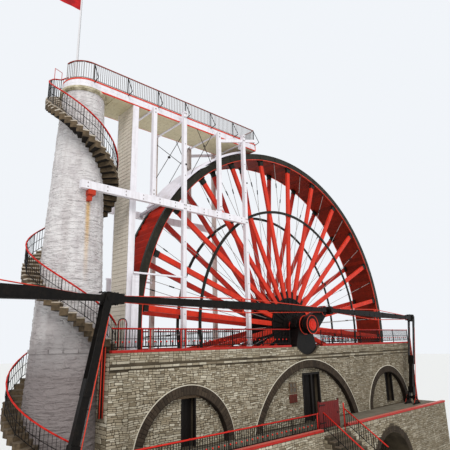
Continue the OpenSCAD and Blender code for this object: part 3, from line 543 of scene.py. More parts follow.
arch_blocks = ring_blocks("arch_ring_blocks", blind_arches, (-2.23, -1), 1, ring_stone, fill_dice,
                          ring_width)
settle("arch_stone", arch_blocks)
paint(patchy_finish("ring_mortar", 0.95, shade(28, 22, 18), shade(52, 42, 33), 0.5, 0.35, 0.65),
      "arch_rings")
pointing, tree, shader = start_finish("ring_pointing", 0.9)
shader.inputs["Base Color"].default_value = shade(198, 190, 172)
add_relief(tree, shader, fine_noise(tree, 0.05, 5), 0.006)
body = bmesh.new()
for cx, cz, r in blind_arches:
    low = math.degrees(math.asin((terrace_top - cz) / r)) if terrace_top > cz else 0.0
    edge = []
    for k in range(49):
        a = math.radians(low + (180 - 2 * low) * k / 48)
        edge.append([body.verts.new((cx + reach * math.cos(a), y, cz + reach * math.sin(a)))
                     for reach, y in ((r - 0.004, -2.19), (r - 0.004, -2.238), (r + 0.034, -2.234),
                                      (r + 0.034, -2.19))])
    skin(body, edge)
finished(body, "arch_pointing", pointing)


# Fittings of the blind arches: a driftwood lintel over the left slot, a stile in the middle slot,
# a small grey window, and a red-brown hatch below it. All are timber, wedged into the rubble.
def add_box(body, low, high, ease=0.0):
    """A board or block between two corners, its edges eased by the given amount."""
    made = bmesh.ops.create_cube(body, size=1.0)["verts"]
    bmesh.ops.scale(body, vec=[abs(b - a) for a, b in zip(low, high)], verts=made)
    bmesh.ops.translate(body, vec=[(a + b) / 2 for a, b in zip(low, high)], verts=made)
    if ease:
        edges = list({e for v in made for e in v.link_edges})
        bmesh.ops.bevel(body, geom=edges, offset=ease, segments=1, affect="EDGES")
    return made


def add_rod(body, start, end, radius, sides=8, end_radius=None):
    """A round or many-sided bar from one point to another."""
    start, end = Vector(start), Vector(end)
    way = end - start
    turn = way.to_track_quat("Z", "Y").to_matrix().to_4x4()
    turn.translation = (start + end) / 2
    bmesh.ops.create_cone(body, cap_ends=True, segments=sides, radius1=radius,
                          radius2=radius if end_radius is None else end_radius,
                          depth=way.length, matrix=turn)


def timber_finish(name, colour, worn, stretch, grain=0.5, roughness=0.6, dirt=None):
    """Painted or bare timber: grain along its length, paint worn in patches, rain dirt."""
    material, tree, shader = start_finish(name, roughness)
    lines = fine_noise(tree, 0.06, 6, stretch)
    wear = weathered(tree, patches, Size=0.35, Low=0.52, High=0.72)
    base = mix_colour(tree, scaled(tree, wear, grain), colour, worn)
    rain = weathered(tree, streaks, Width=0.16, Low=0.5, High=0.78)
    shown = mix_colour(tree, scaled(tree, rain, 0.4), base, dirt or worn)
    tree.links.new(shown, shader.inputs["Base Color"])
    add_relief(tree, shader, lines, 0.004, 0.7)
    return material


grey_wood = timber_finish("weathered_wood", shade(104, 86, 66), shade(66, 52, 40), (0.12, 1, 1))
# painted shade: the slot frames and boards are near-black to stand for the dark inside of the slots
shadow_wood = timber_finish("slot_shadow_wood", shade(19, 14, 11), shade(13, 10, 8), (1, 1, 0.12))
hatch_red = timber_finish("hatch_paint", shade(88, 34, 24), shade(58, 28, 22), (1, 1, 0.12))
slot_face = -arch_back
body = bmesh.new()
add_box(body, (-9.42, slot_face - 0.09, 8.42), (-7.86, slot_face + 0.1, 8.56), 0.015)
add_box(body, (-9.30, slot_face - 0.12, 8.58), (-8.02, slot_face + 0.1, 8.74), 0.015)
finished(body, "slot_lintel", grey_wood)
body = bmesh.new()
add_box(body, (0.30, slot_face - 0.06, 6.35), (0.44, slot_face + 0.1, 8.95), 0.01)
for x in (-0.44, 1.10):
    add_box(body, (x, slot_face - 0.05, 6.35), (x + 0.1, slot_face + 0.12, 8.95), 0.01)
add_box(body, (-0.44, slot_face - 0.05, 8.90), (1.20, slot_face + 0.12, 9.02), 0.01)
for x in (-9.12, -8.34):
    add_box(body, (x, slot_face - 0.03, 6.35), (x + 0.08, slot_face + 0.12, 8.42), 0.01)
for x in (8.90, 9.82):
    add_box(body, (x, slot_face - 0.03, 6.55), (x + 0.08, slot_face + 0.12, 8.70), 0.01)
finished(body, "slot_frames", shadow_wood)
body = bmesh.new()
for a, b, c, d in slot_boxes:
    boards = max(3, round((b - a) / 0.17))
    for k in range(boards):
        x0 = a + (b - a) * k / boards
        add_box(body, (x0 + 0.004, slot_back - 0.04, c),
                (x0 + (b - a) / boards - 0.004, slot_back - 0.002, d))
finished(body, "slot_boards", shadow_wood)
body = bmesh.new()
add_box(body, (-1.67, slot_face - 0.05, 7.50), (-1.00, slot_face + 0.02, 7.94), 0.01)
for z in (7.60, 7.72, 7.84):
    add_box(body, (-1.63, slot_face - 0.06, z - 0.008), (-1.04, slot_face - 0.04, z + 0.008))
finished(body, "wall_hatch", hatch_red)
body = bmesh.new()
for x in (-1.62, -1.335, -1.05):
    add_box(body, (x - 0.03, slot_face - 0.06, 8.02), (x + 0.03, slot_face + 0.02, 8.58), 0.006)
for z in (8.02, 8.30, 8.55):
    add_box(body, (-1.65, slot_face - 0.06, z - 0.03), (-1.02, slot_face + 0.02, z + 0.03), 0.006)
finished(body, "window_frame", grey_wood)
pane = patchy_finish("window_pane", 0.12, shade(62, 54, 46), shade(96, 86, 72), 0.3, 0.4, 0.7)
pane.node_tree.nodes["Principled BSDF"].inputs["Specular IOR Level"].default_value = 0.4
body = bmesh.new()
add_box(body, (-1.64, slot_face - 0.035, 8.02), (-1.03, slot_face - 0.02, 8.58))
finished(body, "window_panes", pane)


# Back wall, end walls and pit: the same rubble as the front. The back arches are ringed too.
back_dice = random.Random(43)
back_cells = rubble(-case_end, case_end, 0.02, case_top, (0.11, 0.24), (0.18, 0.55), back_dice,
                    lambda x, z: (z > terrace_top and in_arch(x, z)) or in_notch(x, z))
back_stones = lay_stones("back_wall_stones", back_cells, lambda u, v, o: (-u, case_face + o, v),
                         wall_stone, back_dice, stray=0.018, chip=0.3)
back_fill = rubble(-case_end, case_end, terrace_top, 9.6, (0.11, 0.22), (0.18, 0.5), back_dice,
                   lambda x, z: not in_arch(x, z, ring_width))
back_filling = lay_stones("back_arch_filling", back_fill,
                          lambda u, v, o: (-u, arch_back + o, v), wall_stone, back_dice,
                          stray=0.014, chip=0.3)
back_rings = ring_blocks("back_arch_blocks", blind_arches, (case_face, 1), -1, ring_stone,
                         back_dice, ring_width)
right_cells = rubble(-case_face, case_face, 0.02, case_top, (0.11, 0.24), (0.18, 0.55), back_dice)
right_stones = lay_stones("right_end_stones", right_cells,
                          lambda u, v, o: (case_end + o, u, v), wall_stone, back_dice,
                          stray=0.014, chip=0.3)
left_cells = rubble(-case_face, -1.28, terrace_top, case_top, (0.11, 0.22), (0.18, 0.5), back_dice)
left_cells += rubble(1.28, case_face, terrace_top, case_top, (0.11, 0.22), (0.18, 0.5), back_dice)
left_stones = lay_stones("left_end_stones", left_cells,
                         lambda u, v, o: (-case_end - o, -u, v), wall_stone, back_dice,
                         chip=0.3)
settle("rubble_masonry", back_stones, back_filling, right_stones, left_stones)
settle("arch_stone", back_rings)
paint(mortar, "back_wall", "left_end_wall", "right_end_wall")
paint(patchy_finish("pit_floor_stone", 0.5, shade(44, 40, 32), shade(62, 66, 44), 0.8, 0.4, 0.65,
                    (0.25, 6), 0.05), "pit_floor")


# Terrace and the block below the tower: rubble retaining walls, with the dark-ringed arch that
# lets the spent water out of the pit, and flagstones on top.
race_x, race_r, race_spring = 4.95, 2.1, 3.3
race_ring = 0.35
plinth_left = -16.5
terrace_face = 4.25


def race_hole(x, z):
    inside = abs(x - race_x)
    if z > race_spring:
        return math.hypot(inside, z - race_spring) < race_r + race_ring
    return inside < race_r + race_ring


terrace_dice = random.Random(44)
terrace_cells = rubble(plinth_left, case_end, 0.02, terrace_top - 0.02,
                       (0.07, 0.16), (0.14, 0.46), terrace_dice, race_hole)
terrace_stones = lay_stones("terrace_stones", terrace_cells,
                            lambda u, v, o: (u, -terrace_face - o, v), wall_stone, terrace_dice,
                            stray=0.018, chip=0.35)
end_cells = rubble(-terrace_face, -case_face, 0.02, terrace_top - 0.02, (0.11, 0.24),
                   (0.18, 0.5), terrace_dice)
terrace_end = lay_stones("terrace_end_stones", end_cells,
                         lambda u, v, o: (case_end + o, u, v), wall_stone, terrace_dice,
                         stray=0.014, chip=0.3)
plinth_cells = rubble(-2.6, terrace_face, 0.02, terrace_top - 0.02, (0.11, 0.24), (0.18, 0.5),
                      terrace_dice)
plinth_side = lay_stones("plinth_side_stones", plinth_cells,
                         lambda u, v, o: (plinth_left - o, -u, v), wall_stone, terrace_dice,
                         stray=0.014, chip=0.3)
plinth_cells = rubble(case_end, -plinth_left, 0.02, terrace_top - 0.02, (0.11, 0.24), (0.18, 0.5),
                      terrace_dice)
plinth_back = lay_stones("plinth_back_stones", plinth_cells, lambda u, v, o: (-u, 2.6 + o, v),
                         wall_stone, terrace_dice, stray=0.014, chip=0.3)
plinth_cells = courses(-2.6, -case_face, 0.02, terrace_top - 0.02, (0.12, 0.24), (0.2, 0.5),
                       terrace_dice)
plinth_step = lay_stones("plinth_step_stones", plinth_cells,
                         lambda u, v, o: (-case_end + o, -u, v), wall_stone, terrace_dice)
jamb_cells = courses(0, race_ring, 0.02, race_spring, (0.2, 0.3), (0.35, 0.4), terrace_dice)
jambs = [lay_stones("race_jamb", jamb_cells,
                    lambda u, v, o, x=x: (x + u, -terrace_face - o, v), ring_stone,
                    terrace_dice, proud=(0.015, 0.03))
         for x in (race_x - race_r - race_ring, race_x + race_r)]
race_blocks = ring_blocks("tail_race_ring", [(race_x, race_spring, race_r + race_ring)],
                          (-terrace_face, -1), 1, ring_stone, terrace_dice, race_ring,
                          out=(0.015, 0.03), foot=race_spring)
settle("rubble_masonry", terrace_stones, terrace_end, plinth_side, plinth_back, plinth_step)
for i, stones in enumerate(jambs):
    stones.name = "tail_race_jamb_" + str(i + 1)
settle("arch_stone", *jambs, race_blocks)
paint(mortar, "terrace", "tower_plinth")

flag_stone = stone_finish(
    "flag_stone", [shade(120, 112, 98), shade(146, 138, 122), shade(104, 96, 84)],
    shade(86, 80, 66))
flag_dice = random.Random(45)
flag_cells = courses(plinth_left + 0.05, case_end - 0.05, -terrace_face + 0.25, -case_face - 0.02,
                     (0.4, 0.6), (0.25, 0.6), flag_dice)
flag_cells += courses(plinth_left + 0.05, -case_end, -case_face, 2.55, (0.4, 0.6), (0.25, 0.6),
                      flag_dice, lambda x, y: math.hypot(x + 13.73, y) < 1.66)
flags = lay_stones("terrace_flags", flag_cells, lambda u, v, o: (u, v, terrace_top + o),
                   flag_stone, flag_dice, proud=(0.006, 0.01), ragged=0.0)
top_cells = []
for low, high in ((-case_face + 0.24, -1.17), (1.17, case_face - 0.24)):
    top_cells += courses(-case_end + 0.05, case_end - 0.05, low, high, (0.3, 0.45), (0.3, 0.6),
                         flag_dice, lambda x, y: abs(x) < 1.3 or
                         math.hypot(x + 13.73, y) < 1.52)
wall_flags = lay_stones("wall_top_flags", top_cells, lambda u, v, o: (u, v, case_top + o),
                        flag_stone, flag_dice, proud=(0.006, 0.01), ragged=0.0)
settle("rubble_masonry", flags, wall_flags)


# Coping boards: red-painted timber nailed along the tops of the walls.
coping_red = timber_finish("coping_paint", shade(172, 34, 26), shade(108, 30, 24), (0.1, 1, 1),
                           roughness=0.45, dirt=shade(92, 40, 30))
tree = coping_red.node_tree
coping_colour = tree.nodes["Principled BSDF"].inputs["Base Color"]
# painted highlight: the up-facing tops of the boards are lightened to salmon
top_face_highlight = faded(tree, axes(tree, "ShaderNodeNewGeometry", "Normal")["Z"], 0.5, 0.9)
tree.links.new(mix_colour(tree, scaled(tree, top_face_highlight, 0.6), coping_colour.links[0].from_socket,
                          shade(214, 128, 112)), coping_colour)
paint(coping_red, "wall_coping", "terrace_coping")


# Water tower: a round battered shaft of rough rubble, limewashed many times over. A string band
# runs round it at the wall top; below it the wash is darkened to lilac grey as painted shade.
tower_x = -13.73
deck_z = 22.69


def tower_radius(z):
    return 0.975 + 0.039 * (deck_z - z)


limewash, tree, shader = start_finish("limewash", 0.85)
place = axes(tree)
coat = mix_colour(tree, weathered(tree, patches, Size=0.5, Low=0.42, High=0.62),
                  shade(219, 215, 214), shade(199, 193, 193))
rain = weathered(tree, streaks, Width=0.35, Low=0.5, High=0.72)
coat = mix_colour(tree, scaled(tree, rain, 0.4), coat, shade(168, 158, 156))
# painted shade: the wash darkens to lilac grey from 13 m down to 9.6 m
foot = faded(tree, place["Z"], 13.0, 9.6)
coat = mix_colour(tree, scaled(tree, foot, 0.95), coat, shade(128, 119, 117))
# A rust streak on the front, under the beam's iron, fading out downwards
rust_x, rust_head = -13.70, 17.1
off_streak = worked(tree, "ABSOLUTE", worked(tree, "ADD", place["X"], -rust_x))
rust = faded(tree, off_streak, 0.14, 0.03)
for factor in (faded(tree, place["Z"], 13.3, 16.2), worked(tree, "LESS_THAN", place["Z"], rust_head),
               worked(tree, "LESS_THAN", place["Y"], 0.0),
               weathered(tree, patches, Size=0.12, Low=0.2, High=0.45)):
    rust = worked(tree, "MULTIPLY", rust, factor)
tree.links.new(mix_colour(tree, scaled(tree, rust, 0.7), coat, shade(206, 158, 66)),
               shader.inputs["Base Color"])
add_relief(tree, shader, fine_noise(tree, 0.42, 5, (0.8, 0.8, 3.0)), 0.17)
paint(limewash, "tower")

tower_dice = random.Random(46)
tower_foot, tower_head = 6.36, 22.50
tower_middle = tower_radius(14.5)
tower_cells = []
z = tower_foot
while z < tower_head - 0.03:
    h = min(tower_dice.uniform(0.08, 0.2), tower_head - z)
    u = 0.0
    around = 2 * math.pi * tower_middle
    while u < around - 0.02:
        w = tower_dice.uniform(0.2, 0.6)
        if around - u - w < 0.2:
            w = around - u
        if not 10.50 < z + h / 2 < 10.74:
            tower_cells.append((u, u + w, z, z + h))
        u += w
    z += h


def on_tower(u, v, o):
    a = u / tower_middle
    r = tower_radius(v) + o
    return (tower_x + r * math.cos(a), r * math.sin(a), v)


tower_stones = lay_stones("tower_stones", tower_cells, on_tower, limewash, tower_dice,
                          proud=(0.002, 0.034), joint=0.012, ragged=1.0, stray=0.035, chip=0.45)
band_cells = []
u = 0.0
while u < 2 * math.pi * tower_middle - 0.02:
    w = min(0.5, 2 * math.pi * tower_middle - u)
    band_cells.append((u, u + w, 10.52, 10.72))
    u += w
tower_band = lay_stones("tower_string_band", band_cells, on_tower, limewash, tower_dice,
                        proud=(0.075, 0.085), joint=0.01, ragged=0.1)
settle("limewashed_stone", tower_stones, tower_band)

paint(patchy_finish("cornice_stone", 0.85, shade(204, 194, 168), shade(146, 136, 108), 0.25, 0.4,
                    0.6, (0.06, 5), 0.01), "tower_cornice")


# Outside stair: stone blocks built into the tower, brown at their ends and with painted shade on
# their undersides, with pale worn treads darkened low down as painted shade, and an iron rail with
# a red hand rail.
step_turn = 8.94
step_rise = 0.2
first_step, last_lower = -42.0, 68.0
climb_steps, lower_steps = 61, 20


def step_angle(i):
    return (first_step if i >= 0 else last_lower) - i * step_turn


def step_top(i):
    return case_top + (i + 1) * step_rise


def round_tower(r, degrees, z):
    """A place at a distance from the tower's axis, in a direction, at a height."""
    a = math.radians(degrees)
    return Vector((tower_x + r * math.cos(a), r * math.sin(a), z))


def prism(body, near, far):
    """A solid between two outlines that have as many corners each."""
    near = [body.verts.new(p) for p in near]
    far = [body.verts.new(p) for p in far]
    body.faces.new(near)
    body.faces.new(far[::-1])
    for k in range(len(near)):
        n = (k + 1) % len(near)
        body.faces.new((near[k], near[n], far[n], far[k]))


block_stone, tree, shader = start_finish("step_stone", 0.9)
tone = mix_colour(tree, weathered(tree, patches, Size=0.22, Low=0.38, High=0.62),
                  shade(70, 59, 45), shade(104, 88, 68))
# painted shade: faces that look downwards darken nearly to black
underside_shade = faded(tree, axes(tree, "ShaderNodeNewGeometry", "Normal")["Z"], -0.2, -0.8)
tree.links.new(mix_colour(tree, underside_shade, tone, shade(30, 25, 20)), shader.inputs["Base Color"])
add_relief(tree, shader, fine_noise(tree, 0.05, 6), 0.012)
paint(block_stone, "lower_flight", "middle_flight", "upper_flight")

tread_stone, tree, shader = start_finish("tread_stone", 0.85)
tone = mix_colour(tree, weathered(tree, patches, Size=0.3, Low=0.4, High=0.62),
                  shade(196, 186, 172), shade(148, 132, 112))
# painted shade: treads darken below 11 m, where the lower flight lies in shade
darkening_and_painted_shade = faded(tree, axes(tree)["Z"], 11.0, 10.0)
tree.links.new(mix_colour(tree, darkening_and_painted_shade, tone, shade(92, 80, 66)), shader.inputs["Base Color"])
add_relief(tree, shader, fine_noise(tree, 0.04, 5), 0.006)
body = bmesh.new()
for i in range(-lower_steps, climb_steps):
    top = step_top(i) + 0.008
    inner = (1.115 if top > deck_z - 0.18 else tower_radius(top)) + 0.01
    outer = tower_radius(top - 0.33) + 0.7 + 0.018
    prism(body, *[[round_tower(r, step_angle(i) - turn, z)
                   for r, turn in ((inner, -0.25), (outer, -0.5), (outer, step_turn - 0.25),
                                   (inner, step_turn - 0.25))] for z in (top - 0.05, top)])
landing_start = step_angle(climb_steps)
landing_turn = 22
landing_top = deck_z + 0.018
landing_end = landing_start - landing_turn - 0.2
prism(body, *[[round_tower(r, turn, z)
               for r, turn in ((1.125, landing_start + 0.2), (1.70, landing_start + 0.2),
                               (1.70, landing_end), (1.125, landing_end))]
              for z in (landing_top - 0.06, landing_top)])
finished(body, "stair_treads", tread_stone)


def iron_finish(name, colour, worn, wear=0.35, roughness=0.42, relief=0.002):
    """Painted iron: layers of gloss paint gone chalky in patches, with grease and rain dirt."""
    material, tree, shader = start_finish(name, roughness)
    shader.inputs["Specular IOR Level"].default_value = 0.12
    chalk = weathered(tree, patches, Size=0.18, Low=0.5, High=0.7)
    base = mix_colour(tree, scaled(tree, chalk, wear), colour, worn)
    rain = weathered(tree, streaks, Width=0.12, Low=0.52, High=0.8)
    shown = mix_colour(tree, scaled(tree, rain, 0.3), base, worn)
    tree.links.new(shown, shader.inputs["Base Color"])
    add_relief(tree, shader, fine_noise(tree, 0.05, 5), relief)
    return material


rail_black = iron_finish("rail_black", shade(17, 15, 14), shade(44, 36, 31))
rail_red = iron_finish("rail_red", shade(196, 40, 30), shade(128, 34, 28), 0.4)
paint(rail_black, "lower_stair_rail", "upper_stair_rail", "front_railing", "back_railing",
      "terrace_railing")


def add_ball(body, place, radius, u=8, v=6):
    bmesh.ops.create_uvsphere(body, u_segments=u, v_segments=v, radius=radius,
                              matrix=Matrix.Translation(place))


def add_run(body, path, radius, sides=8):
    """Bars from each place of a path to the next."""
    for p, q in zip(path, path[1:]):
        add_rod(body, p, q, radius, sides)


def up(height):
    return Vector((0, 0, height))


rail_height = 0.95
body = bmesh.new()
mid_rails = bmesh.new()
for start, steps in ((-lower_steps - 1, lower_steps + 1), (0, climb_steps)):
    path = []
    for k in range(steps + 1):
        z = step_top(start) + k * step_rise
        path.append(round_tower(tower_radius(z) + 0.64, step_angle(start) - k * step_turn, z))
    add_run(body, [p + up(rail_height) for p in path], 0.034)
    add_run(mid_rails, [p + up(rail_height * 0.52) for p in path], 0.014, 6)
    for p in path:
        add_ball(body, p + up(rail_height), 0.036)
# The landing's rail rises from the last post and turns in to the deck, with a hoop over it
guard = [round_tower(r, landing_start - turn, z)
         for r, turn, z in ((1.607, 0, 23.85), (1.607, landing_turn - 2, 24.15),
                            (1.155, landing_turn - 2, 24.15))]
add_run(body, guard, 0.034)
add_run(mid_rails, [p - up(0.5) for p in guard], 0.014, 6)
for p in guard:
    add_ball(body, p, 0.036)
finished(body, "stair_hand_rails", rail_red, smooth=True)
finished(mid_rails, "stair_mid_rails", rail_black)
body = bmesh.new()
add_run(body, [guard[0] - up(1.1), guard[0] + up(0.62), guard[1] + up(0.42), guard[1] - up(1.35)],
        0.016, 6)
finished(body, "landing_hoop", rail_red)


# Wall and terrace railings: black iron bars under a red top rail, with small red knobs near the
# foot of every other bar, a middle bar, and red stays where the posts stand.
def straight_fittings(red, black, x0, x1, y, base, height, bays):
    """A red top rail and a black middle bar, with a foot and a round cap for each post."""
    top = base + height
    add_rod(red, (x0 - 0.02, y, top), (x1 + 0.02, y, top), 0.033)
    add_rod(black, (x0, y, base + height * 0.52), (x1, y, base + height * 0.52), 0.013, 6)
    for k in range(bays + 1):
        x = x0 + (x1 - x0) * k / bays
        add_box(black, (x - 0.03, y - 0.03, base), (x + 0.03, y + 0.03, base + 0.02))
        add_ball(red, (x, y, top + 0.01), 0.042)


wall_rail_y, wall_rail_foot = 2.08, 10.61
terrace_rail_y = -3.95
steps_from = -1.84
red_body, black_body = bmesh.new(), bmesh.new()
for y in (-wall_rail_y, wall_rail_y):
    for x0, x1 in ((-12.71, -1.5), (1.5, 12.81)):
        straight_fittings(red_body, black_body, x0, x1, y, wall_rail_foot, 0.87, 5)
straight_fittings(red_body, black_body, -16.4, steps_from, terrace_rail_y, terrace_top, 0.82, 7)
add_rod(red_body, (steps_from - 0.06, terrace_rail_y, terrace_top),
        (steps_from - 0.06, terrace_rail_y, terrace_top + 0.82), 0.034)
for x in (-11.31, -10.88, -9.22, -8.96):
    add_rod(red_body, (x, -wall_rail_y, wall_rail_foot), (x, -wall_rail_y, 11.50), 0.03)
finished(red_body, "red_top_rails", rail_red, smooth=True)
finished(black_body, "rail_middle_bars", rail_black)


def copies_tree(name, *more):
    """Sets copies of the piece it is put on at points, makes them real and gives the finish."""
    tree = bpy.data.node_groups.new(name, "GeometryNodeTree")
    for label, way, kind in (("Geometry", "INPUT", "Geometry"), ("Count", "INPUT", "Int"), *more,
                             ("Finish", "INPUT", "Material"), ("Geometry", "OUTPUT", "Geometry")):
        tree.interface.new_socket(label, in_out=way, socket_type="NodeSocket" + kind)
    given = tree.nodes.new("NodeGroupInput").outputs
    result = tree.nodes.new("NodeGroupOutput")
    points = tree.nodes.new("GeometryNodeMeshLine")
    copies = tree.nodes.new("GeometryNodeInstanceOnPoints")
    real = tree.nodes.new("GeometryNodeRealizeInstances")
    dress = tree.nodes.new("GeometryNodeSetMaterial")
    for start, end in ((given["Count"], points.inputs["Count"]),
                       (points.outputs["Mesh"], copies.inputs["Points"]),
                       (given["Geometry"], copies.inputs["Instance"]),
                       (copies.outputs["Instances"], real.inputs["Geometry"]),
                       (real.outputs["Geometry"], dress.inputs["Geometry"]),
                       (given["Finish"], dress.inputs["Material"]),
                       (dress.outputs["Geometry"], result.inputs["Geometry"])):
        tree.links.new(start, end)
    return tree, given, points, copies


def apply_tree(body, name, tree, values, rides="root", smooth=False):
    """Runs the tree on the mesh in the making and keeps the outcome as a plain mesh."""
    holder = placed(name + "_one", plain_mesh(body, name + "_one"))
    modifier = holder.modifiers.new("repeat", "NODES")
    modifier.node_group = tree
    for item in tree.interface.items_tree:
        if item.item_type == "SOCKET" and item.in_out == "INPUT" and item.name in values:
            modifier[item.identifier] = values[item.name]
    plan = bpy.context.evaluated_depsgraph_get()
    plain = bpy.data.meshes.new_from_object(holder.evaluated_get(plan))
    bpy.data.objects.remove(holder)
    plain.name = name
    return fitted(name, plain, rides, smooth)


# One step apart along a straight run
along_run, given, line, copies = copies_tree("along_run", ("Step", "INPUT", "Vector"))
along_run.links.new(given["Step"], line.inputs["Offset"])
knob_runs = [("front_left", -12.55, 10.61, -wall_rail_y, 0.3165, 35),
             ("front_right", 1.66, 10.61, -wall_rail_y, 0.3195, 35),
             ("back_left", -12.55, 10.61, wall_rail_y, 0.3165, 35),
             ("back_right", 1.66, 10.61, wall_rail_y, 0.3195, 35),
             ("terrace", -16.24, 6.35, terrace_rail_y, 0.33, 43)]
knob_red = iron_finish("knob_red", shade(222, 46, 30), shade(170, 36, 28), 0.3)
for name, x, base, y, pitch, count in knob_runs:
    body = bmesh.new()
    add_rod(body, (x, y, base + 0.06), (x, y, base + 0.30), 0.012, 6)
    apply_tree(body, name + "_short_bars", along_run,
               {"Count": count, "Step": (pitch, 0, 0), "Finish": rail_black})
    body = bmesh.new()
    bmesh.ops.create_icosphere(body, subdivisions=1, radius=0.042,
                               matrix=Matrix.Translation((x, y, base + 0.325)))
    apply_tree(body, name + "_knobs", along_run,
               {"Count": count, "Step": (pitch, 0, 0), "Finish": knob_red},
               smooth=True)


# Steps up to the terrace, with their sloping rails, and the barred gate at their head.
steps_left, steps_right = -1.84, 0.14
body = bmesh.new()
for i in range(1, 9):
    y0, y1 = -4.25 - 0.3 * i, -4.25 - 0.3 * (i - 1)
    top = terrace_top - 0.2 * i
    add_box(body, (steps_left - 0.01, max(y0 - 0.01, -6.65), top - 0.05),
            (steps_right + 0.01, y1 - 0.003, top + 0.01), 0.006)
finished(body, "terrace_treads", tread_stone)
paint(mortar, "terrace_steps")
step_dice = random.Random(47)
step_cells = courses(-6.64, -4.25, 0.02, terrace_top - 0.2, (0.12, 0.22), (0.2, 0.5), step_dice,
                     lambda y, z: z > terrace_top - 0.26 + (y + 4.25) * 0.2 / 0.3)
for side, x in ((-1, steps_left), (1, steps_right)):
    stones = lay_stones("steps_side_stones", step_cells,
                        lambda u, v, o, x=x, side=side: (x + side * o, u, v),
                        wall_stone, step_dice)
    stones.name = "steps_side_stones_left" if side < 0 else "steps_side_stones_right"
    settle("step_stone", stones)
paint(rail_black, "terrace_step_rails")
body = bmesh.new()
for x in (steps_left + 0.04, steps_right - 0.04):
    add_rod(body, (x, -6.65, 5.68), (x, -4.28, 7.26), 0.034, 8)
add_rod(body, (steps_right - 0.09, -4.27, 6.1), (steps_right - 0.09, -4.27, 7.55), 0.036, 8)
finished(body, "step_hand_rails", rail_red, smooth=True)
gate_red = timber_finish("gate_paint", shade(104, 26, 24), shade(72, 24, 22), (1, 1, 0.1))
paint(gate_red, "terrace_gate")
body = bmesh.new()
for k in range(10):
    x = -1.675 + 0.165 * k
    add_box(body, (x + 0.003, -3.985, 6.46), (x + 0.162, -3.969, 7.67), 0.004)
for z in (6.62, 7.05, 7.48):
    add_box(body, (-1.66, -3.932, z), (-0.04, -3.905, z + 0.09), 0.006)
finished(body, "gate_boards", gate_red)
body = bmesh.new()
for z in (6.66, 7.52):
    add_box(body, (-1.70, -4.0, z), (-1.20, -3.984, z + 0.05), 0.004)
    add_rod(body, (-1.70, -3.992, z - 0.04), (-1.70, -3.992, z + 0.09), 0.022, 8)
add_box(body, (-0.14, -4.0, 7.02), (-0.06, -3.984, 7.12), 0.004)
for x in (-1.715, -0.015):
    add_box(body, (x - 0.05, -4.0, 7.75), (x + 0.05, -3.9, 7.775), 0.008)
finished(body, "gate_irons", rail_black)


# Round-topped iron gate on the wall beside the tower, where the stair passes.
body = bmesh.new()
red_arch = bmesh.new()
gate_x, gate_y, gate_foot, gate_spring = -12.19, -1.95, 10.62, 11.70
for half, radius, target in ((0.21, 0.02, body), (0.165, 0.014, red_arch)):
    turns = [math.pi - math.pi * k / 8 for k in range(9)]
    crown = [(gate_x + half * math.cos(a), gate_y, gate_spring + half * math.sin(a)) for a in turns]
    add_run(target, [(gate_x - half, gate_y, gate_foot), *crown, (gate_x + half, gate_y, gate_foot)],
            radius, 6)
for k in range(1, 4):
    x = gate_x - 0.165 + 0.33 * k / 4
    add_rod(body, (x, gate_y, gate_foot),
            (x, gate_y, gate_spring + 0.155 * math.sin(math.pi * k / 4)), 0.009, 6)
finished(body, "hoop_gate", rail_black)
finished(red_arch, "hoop_gate_arch", rail_red)


# Aqueduct: a boarded timber trough and walkway, painted white, that brings the water from the
# tower to the top of the wheel. A thin red line is painted along both edges of its side boards.
white_paint = timber_finish("white_paint", shade(236, 233, 238), shade(206, 200, 206), (1, 1, 0.1),
                            grain=0.45, roughness=0.5, dirt=shade(178, 168, 164))
paint(white_paint, "side_boards", "front_posts", "side_beams")
# painted shade: the back posts get a darker, browner copy of the white paint
shaded_white = timber_finish("shaded_white_paint", shade(206, 192, 184), shade(150, 126, 112),
                          (1, 1, 0.1), grain=0.8, roughness=0.6, dirt=shade(132, 108, 94))
paint(shaded_white, "back_posts")
khaki = timber_finish("khaki_boards", shade(212, 202, 170), shade(184, 172, 136), (0.15, 1, 1),
                      roughness=0.7, dirt=shade(150, 138, 104))
paint(khaki, "deck")
screen_grey = timber_finish("screen_boards", shade(218, 209, 194), shade(190, 180, 162),
                            (1, 0.15, 1), roughness=0.7, dirt=shade(160, 150, 130))
paint(screen_grey, "drop_screen")

deck_half = 1.0
deck_end = -2.6
wheel_h = 11.75


def arc_band(body, centre, r0, r1, z0, z1, a0, a1, steps):
    """A flat band between two radii, two heights and two angles in degrees."""
    rings = []
    for k in range(steps + 1):
        a = math.radians(a0 + (a1 - a0) * k / steps)
        c, s = math.cos(a), math.sin(a)
        rings.append([body.verts.new((centre + r * c, r * s, z))
                      for r, z in ((r0, z0), (r1, z0), (r1, z1), (r0, z1))])
    skin(body, rings)


red_line = iron_finish("red_line", shade(218, 70, 50), shade(160, 50, 38), 0.3)
body = bmesh.new()
board_body = bmesh.new()
for low, high in ((22.664, 22.724), (23.084, 23.156)):
    for side in (-1, 1):
        add_box(body, (tower_x, side * (deck_half - 0.03), low),
                (deck_end, side * (deck_half + 0.026), high))
    for a0, a1 in ((90, 116), (152, 270)):
        arc_band(body, tower_x, deck_half - 0.03, deck_half + 0.022, low, high, a0, a1, 24)
for side in (-1, 1):
    add_box(body, (deck_end - 0.03, side * 0.91, 22.67),
            (deck_end + 0.02, side * (deck_half + 0.028), 23.15))
add_box(body, (deck_end - 0.03, -0.99, 22.665), (deck_end + 0.02, 0.99, 22.70))
finished(body, "deck_red_lines", red_line)
board = (deck_end - tower_x) / 4
for low, high in ((22.728, 22.902), (22.908, 23.080)):
    for side in (-1, 1):
        for k in range(4):
            x0 = tower_x + board * k
            add_box(board_body, (x0 + 0.003, side * deck_half, low),
                    (x0 + board - 0.003, side * (deck_half + 0.012), high))
    for a0, a1 in ((90.4, 116), (152, 269.6)):
        arc_band(board_body, tower_x, deck_half - 0.01, deck_half + 0.012, low, high, a0, a1, 24)
finished(board_body, "deck_fascia_boards", white_paint)

